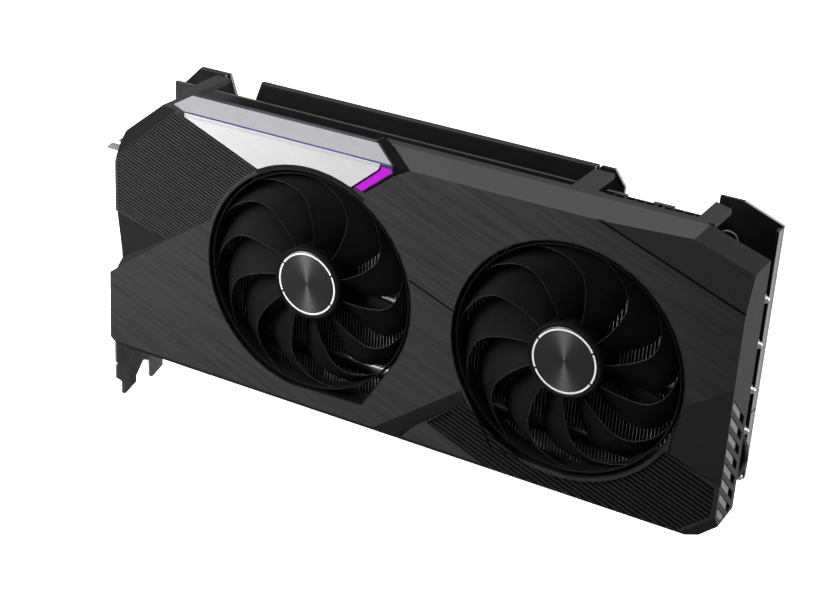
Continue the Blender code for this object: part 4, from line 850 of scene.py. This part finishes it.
def build_fins():
    pitch = 1.45
    thickness = 0.28
    base = 1.6
    room = 3.2                                      # half the slot round a front pipe
    count = int((FIN_RIGHT - FIN_LEFT - thickness) / pitch)
    pitch = (FIN_RIGHT - FIN_LEFT - thickness) / count
    front_edge = [(FIN_FRONT, FIN_BOTTOM)]
    for _, z, depth, _, _ in sorted(front_pipes(), key=lambda pipe: pipe[1]):
        front_edge += [(FIN_FRONT, z - room), (depth + room, z - room), (depth + room, z + room),
                       (FIN_FRONT, z + room)]
    outline = front_edge + [(FIN_FRONT, FIN_TOP), (FIN_BACK - base, FIN_TOP), (FIN_BACK - base, FIN_BOTTOM)]
    edit = bmesh.new()
    for i in range(count + 1):
        left = FIN_LEFT + i * pitch
        side_prism(edit, outline, left, left + thickness)
    piece("cooling_fins", edit, "fin", node="fin_stack")

    sheet = 0.3
    width = 4.5
    edit = bmesh.new()
    for i in range(count):
        left = FIN_LEFT + i * pitch + thickness * 0.5
        for z in (FIN_BOTTOM, FIN_TOP - sheet):
            for front in (FIN_FRONT + 2.0, FIN_BACK - 8.0):
                block(edit, left, left + pitch, front, front + width, z, z + sheet)
    piece("fin_tabs", edit, "fin")

    edit = bmesh.new()
    block(edit, FIN_LEFT, FIN_RIGHT, FIN_BACK - base, FIN_BACK, FIN_BOTTOM, FIN_TOP)
    plate = piece("fin_base", edit, "fin")
    bevel(plate, 0.2)


def pinched(path, radius):
    """The path's points and radii, with the pipe's far end closed to a small nub."""
    end = Vector(path[-1])
    ahead = (end - Vector(path[-2])).normalized()
    body = [point for point in path if (end - Vector(point)).length > 4.5]
    shape = [(4.2, 1.0), (3.2, 0.93), (2.3, 0.74), (1.6, 0.5), (1.1, 0.42), (0.3, 0.4), (0.0, 0.28)]
    points = body + [tuple(end - ahead * back) for back, _ in shape]
    radii = [radius] * len(body) + [radius * share for _, share in shape]
    return points, radii


def build_pipes():
    gpu_low, gpu_high = span("gpu_package")
    gpu_z = (gpu_low[2] + gpu_high[2]) / 2
    middle = (len(PIPE_TAILS) - 1) / 2
    for number, tail_z in enumerate(PIPE_TAILS, 1):
        name = f"heat_pipe_{number}"
        low, high = span(name)
        radius = (high[1] - low[1]) / 2
        depth = (high[1] + low[1]) / 2
        offset = middle - (number - 1)
        plate_z = gpu_z + offset * PLATE_PIPE_PITCH
        left_z = gpu_z + offset * LEFT_PIPE_PITCH
        path = [(low[0], depth, left_z), (-66.0, depth, left_z), (-44.0, depth, (left_z + plate_z) / 2),
                (-28.0, depth, plate_z), (14.0, depth, plate_z), (36.0, depth, (tail_z + plate_z) / 2),
                (58.0, depth, tail_z), (high[0], depth, tail_z)]
        points, radii = pinched(smooth_path(path, 8), radius)
        edit = bmesh.new()
        tube(edit, points, radii, 24)
        piece(f"cooler_pipe_{number}", edit, "nickel", angle=60.0, node=name)
    for number, (name, z, depth, left, right) in enumerate(front_pipes()):
        edit = bmesh.new()
        path = [(left, depth, z), (right - 6.0, depth, z), (right, depth, z)]
        points, radii = pinched(path, FRONT_PIPE_RADIUS)
        tube(edit, points, radii, 24)
        piece(f"cooler_front_pipe_{number + 1}", edit, "dull_nickel", angle=60.0, node=name)


def build_cables():
    paths = {
        "fan_cable_left": (1.1, "cable", [(38.0, 13.7, 49.5), (45.0, 18.0, 52.5), (46.0, 32.0, 53.0),
                                          (44.0, 43.0, 50.0), (42.0, 45.2, 46.0)]),
        "fan_cable_right": (1.2, "cable", [(174.5, 20.0, -16.0), (176.8, 21.0, -33.0), (178.8, 25.5, -41.0),
                                           (179.3, 30.8, -43.4), (179.5, 35.9, -43.5), (179.4, 38.7, -41.5),
                                           (179.0, 39.6, -38.0), (177.0, 41.7, -34.3), (173.5, 43.8, -31.5),
                                           (167.0, 45.2, -31.0), (150.5, 45.0, -32.0)]),
        "light_cable": (0.28, "wire", [(154.0, 36.0, 49.0), (158.5, 28.0, 52.0), (161.8, 23.5, 57.2),
                                      (164.0, 22.5, 58.9), (164.0, 28.2, 56.4), (164.0, 34.9, 52.5),
                                      (164.5, 38.5, 48.4), (167.5, 38.0, 46.8), (171.0, 33.0, 47.5),
                                      (173.6, 27.0, 46.5), (174.6, 22.5, 44.0)]),
    }
    for name, (radius, look, path) in paths.items():
        points = smooth_path(path, 10)
        edit = bmesh.new()
        tube(edit, points, [radius] * len(points), 16)
        piece(name.replace("cable", "lead"), edit, look, angle=60.0, node=name)


# Board details

def build_contacts():
    """Gold pads on both faces of the contact edge."""
    low, high = span("circuit_board")
    front, back, bottom = low[1], high[1], low[2]
    long_left = local(Vector((0.0, 0.0, 0.0)))[0] - LONG_CONTACTS / 2
    margin = 0.65
    half = 0.35
    short = [long_left - KEY_NOTCH - margin - CONTACT_PITCH * i for i in range(11)]
    long = [long_left + margin + CONTACT_PITCH * i for i in range(71)]
    edit = bmesh.new()
    for middle in short + long:
        for near, far in ((front - 0.03, front + 0.01), (back - 0.01, back + 0.03)):
            block(edit, middle - half, middle + half, near, far, bottom + 0.9, bottom + 6.2)
    piece("edge_contacts", edit, "gold")


def build_parts_on_board():
    (_, front, _), (_, back, _) = span("circuit_board")
    chip_low, chip_high = span("gpu_package")
    gpu_x = (chip_low[0] + chip_high[0]) / 2
    gpu_z = (chip_low[2] + chip_high[2]) / 2
    edit = bmesh.new()
    for left, lowest, count in ((66.0, -36.0, 8), (-66.0, -30.0, 3)):
        for i in range(count):
            z = lowest + 9.2 * i
            block(edit, left, left + 7.0, front - 3.6, front - 0.02, z - 3.5, z + 3.5)
    chokes = piece("power_chokes", edit, "choke")
    bevel(chokes, 0.5, 3)

    edit = bmesh.new()
    can = [(2.6, front - 4.3), (3.0, front - 4.1), (3.1, front - 3.7), (3.1, front - 0.02)]
    for x, lowest, count in ((81.5, -38.0, 9), (-74.0, -34.0, 4)):
        for i in range(count):
            stack(edit, x, lowest + 8.6 * i, can, 24)
    piece("capacitor_cans", edit, "steel")

    draw = random.Random(7)
    bodies = bmesh.new()
    ends = bmesh.new()
    for _ in range(150):
        x = gpu_x + draw.uniform(-33.0, 33.0)
        z = gpu_z + draw.uniform(-33.0, 33.0)
        tall = draw.random() < 0.5
        arm = min(abs(abs(x - gpu_x) - abs(z - gpu_z)), 99.0)
        if arm < 6.5 and max(abs(x - gpu_x), abs(z - gpu_z)) > 12.0:
            continue
        half_x, half_z = (0.3, 0.55) if tall else (0.55, 0.3)
        x = round(x / 1.5) * 1.5
        z = round(z / 1.5) * 1.5
        block(bodies, x - half_x, x + half_x, back, back + 0.5, z - half_z, z + half_z)
        if tall:
            block(ends, x - 0.32, x + 0.32, back, back + 0.53, z + 0.42, z + 0.75)
            block(ends, x - 0.32, x + 0.32, back, back + 0.53, z - 0.75, z - 0.42)
        else:
            block(ends, x + 0.42, x + 0.75, back, back + 0.53, z - 0.32, z + 0.32)
            block(ends, x - 0.75, x - 0.42, back, back + 0.53, z - 0.32, z + 0.32)
    piece("ceramic_capacitors", bodies, "ceramic")
    piece("solder_ends", ends, "steel")


def build_socket_details():
    """Pins in the power sockets and contact rows in the video sockets."""
    edit = bmesh.new()
    for name in ("power_socket_1", "power_socket_2"):
        low, high = span(name)
        for column in range(4):
            for row in range(2):
                x = low[0] + 3.0 + column * POWER_PIN_PITCH
                depth = high[1] - 6.9 + row * POWER_PIN_PITCH
                block(edit, x - 0.4, x + 0.4, depth - 0.4, depth + 0.4, low[2] + 2.2, high[2] - 3.0)
    pins = piece("power_pins", edit, "gold")
    bevel(pins, 0.1)

    edit = bmesh.new()
    for name in ("display_socket_1", "display_socket_2", "display_socket_3", "video_socket"):
        low, high = span(name)
        middle = (low[1] + high[1]) / 2
        z0 = low[2] + 3.9
        for i in range(10):
            z = z0 + i * (high[2] - low[2] - 7.8) / 9
            for side in (-1, 1):
                depth = middle + side * 0.47
                block(edit, low[0] + 2.6, low[0] + 9.0, depth - 0.04, depth + 0.04, z - 0.28, z + 0.28)
    piece("video_contacts", edit, "gold")


def cross_screw(name, x, z, depth, radius, height, node=None):
    """A domed screw head that stands towards the back, with a cross recess."""
    edit = bmesh.new()
    dome = [(radius, depth), (radius, depth + height * 0.45), (radius * 0.9, depth + height * 0.8),
            (radius * 0.6, depth + height), (0.02, depth + height * 1.04)]
    stack(edit, x, z, dome, 32)
    screw = piece(name, edit, "steel", angle=40.0, node=node)
    recess = bmesh.new()
    arm, half = radius * 0.55, radius * 0.13
    outline = [(half, half), (half, arm), (-half, arm), (-half, half), (-arm, half), (-arm, -half),
               (-half, -half), (-half, -arm), (half, -arm), (half, -half), (arm, -half), (arm, half)]
    prism(recess, [(x + px, z + pz) for px, pz in outline], depth + height * 0.35, depth + height * 2.0)
    boolean(screw, recess, "DIFFERENCE")


def build_screws():
    for number in range(1, 5):
        name = f"retention_screw_{number}"
        low, high = span(name)
        x = (low[0] + high[0]) / 2
        z = (low[2] + high[2]) / 2
        cross_screw(f"spring_screw_{number}", x, z, high[1] - 1.8, 3.0, 1.75, name)
    back = span("backplate")[1][1]
    places = [(-88.0, 40.0), (-88.0, -50.0), (-2.0, -50.5), (60.0, 50.0), (95.0, -50.0), (144.0, 30.0),
              (144.0, -46.0), (20.0, 50.0)]
    for number, (x, z) in enumerate(places, 1):
        cross_screw(f"backplate_screw_{number}", x, z, back - 0.05, 2.3, 0.75)


# Studio

def build_stage():
    """Seamless paper, lifted a little for the camera and held back in reflections, as behind a flag."""
    look = Look("floor_paper", (0.90, 0.90, 0.90), 0.9, specular=0.05)
    fibre = look.noise(look.place((4.0, 4.0, 4.0)), detail=3.0)
    paper = look.shade(look.remap(fibre, 0.3, 0.7), 0.995, 1.005)
    rays = look.node("LightPath").outputs
    look.set("Base Color", look.mix(rays["Is Camera Ray"], (0.22, 0.22, 0.22), paper))
    look.set("Emission Color", (1.0, 1.0, 1.0, 1.0))
    look.set("Emission Strength", look.times(rays["Is Camera Ray"], 0.66))
    edit = bmesh.new()
    reach = 6.0                                     # metres to each side
    z = cad_bounds[0][2] - 0.6 * MM
    corners = [(-reach, -reach), (reach, -reach), (reach, reach), (-reach, reach)]
    edit.faces.new([edit.verts.new((x, y, z)) for x, y in corners])
    floor = new_object("floor", edit, look.material, None)


def area_light(name, place, target, side, power):
    """A square soft light. Places are in metres and the power in watts."""
    data = bpy.data.lights.new(name, "AREA")
    data.shape = "SQUARE"
    data.size = side
    data.energy = power
    light = bpy.data.objects.new(name, data)
    light.location = place
    light.rotation_euler = (Vector(target) - Vector(place)).to_track_quat("-Z", "Y").to_euler()
    bpy.context.scene.collection.objects.link(light)


def build_world():
    """A studio tent: bright overhead, dim round the horizon, plain white behind the card."""
    world = bpy.data.worlds.new("studio")
    world.use_nodes = True
    tree = world.node_tree
    background = tree.nodes["Background"]
    background.inputs["Strength"].default_value = 1.0
    direction = tree.nodes.new("ShaderNodeTexCoord").outputs["Generated"]
    split = tree.nodes.new("ShaderNodeSeparateXYZ")
    tree.links.new(direction, split.inputs[0])
    ramp = tree.nodes.new("ShaderNodeMapRange")
    tree.links.new(split.outputs["Z"], ramp.inputs["Value"])
    for key, value in {"From Min": 0.0, "From Max": 0.85, "To Min": 0.07, "To Max": 0.95}.items():
        ramp.inputs[key].default_value = value
    rays = tree.nodes.new("ShaderNodeLightPath")
    seen = tree.nodes.new("ShaderNodeMath")
    seen.operation = "MAXIMUM"
    tree.links.new(ramp.outputs[0], seen.inputs[0])
    tree.links.new(rays.outputs["Is Camera Ray"], seen.inputs[1])
    tree.links.new(seen.outputs[0], background.inputs["Color"])
    bpy.context.scene.world = world


def build_lights():
    build_world()
    area_light("top_soft", (0.15, 0.25, 1.4), (0.03, -0.01, 0.07), 1.4, 12.0)
    area_light("left_key", (-0.27, -0.33, 0.27), (0.0, -0.04, 0.07), 0.3, 4.4)
    area_light("right_edge", (0.85, 0.12, 0.35), (0.16, 0.0, 0.06), 0.5, 7.0)


def build_camera():
    data = bpy.data.cameras.new("camera")
    data.sensor_width = 36.0
    data.lens = 78.58
    camera = bpy.data.objects.new("camera", data)
    right = Vector((0.8665, 0.4963, 0.0533)).normalized()
    back = Vector((0.4276, -0.7932, 0.4336)).normalized()
    up = back.cross(right).normalized()
    right = up.cross(back)
    rotation = Matrix((right, up, back)).transposed().to_4x4()
    camera.matrix_world = Matrix.Translation((0.36058, -0.6019, 0.3830)) @ rotation
    bpy.context.scene.collection.objects.link(camera)
    bpy.context.scene.camera = camera


def build():
    carry_over()
    for side in FANS:
        build_rotor(side)
    build_rims()
    build_ribs()
    build_front_lines()
    build_groove_lines()
    build_window_fill()
    build_fins()
    build_pipes()
    build_cables()
    build_contacts()
    build_parts_on_board()
    build_socket_details()
    build_screws()
    build_stage()
    build_lights()
    build_camera()
    bpy.context.scene.view_settings.view_transform = "Standard"


build()
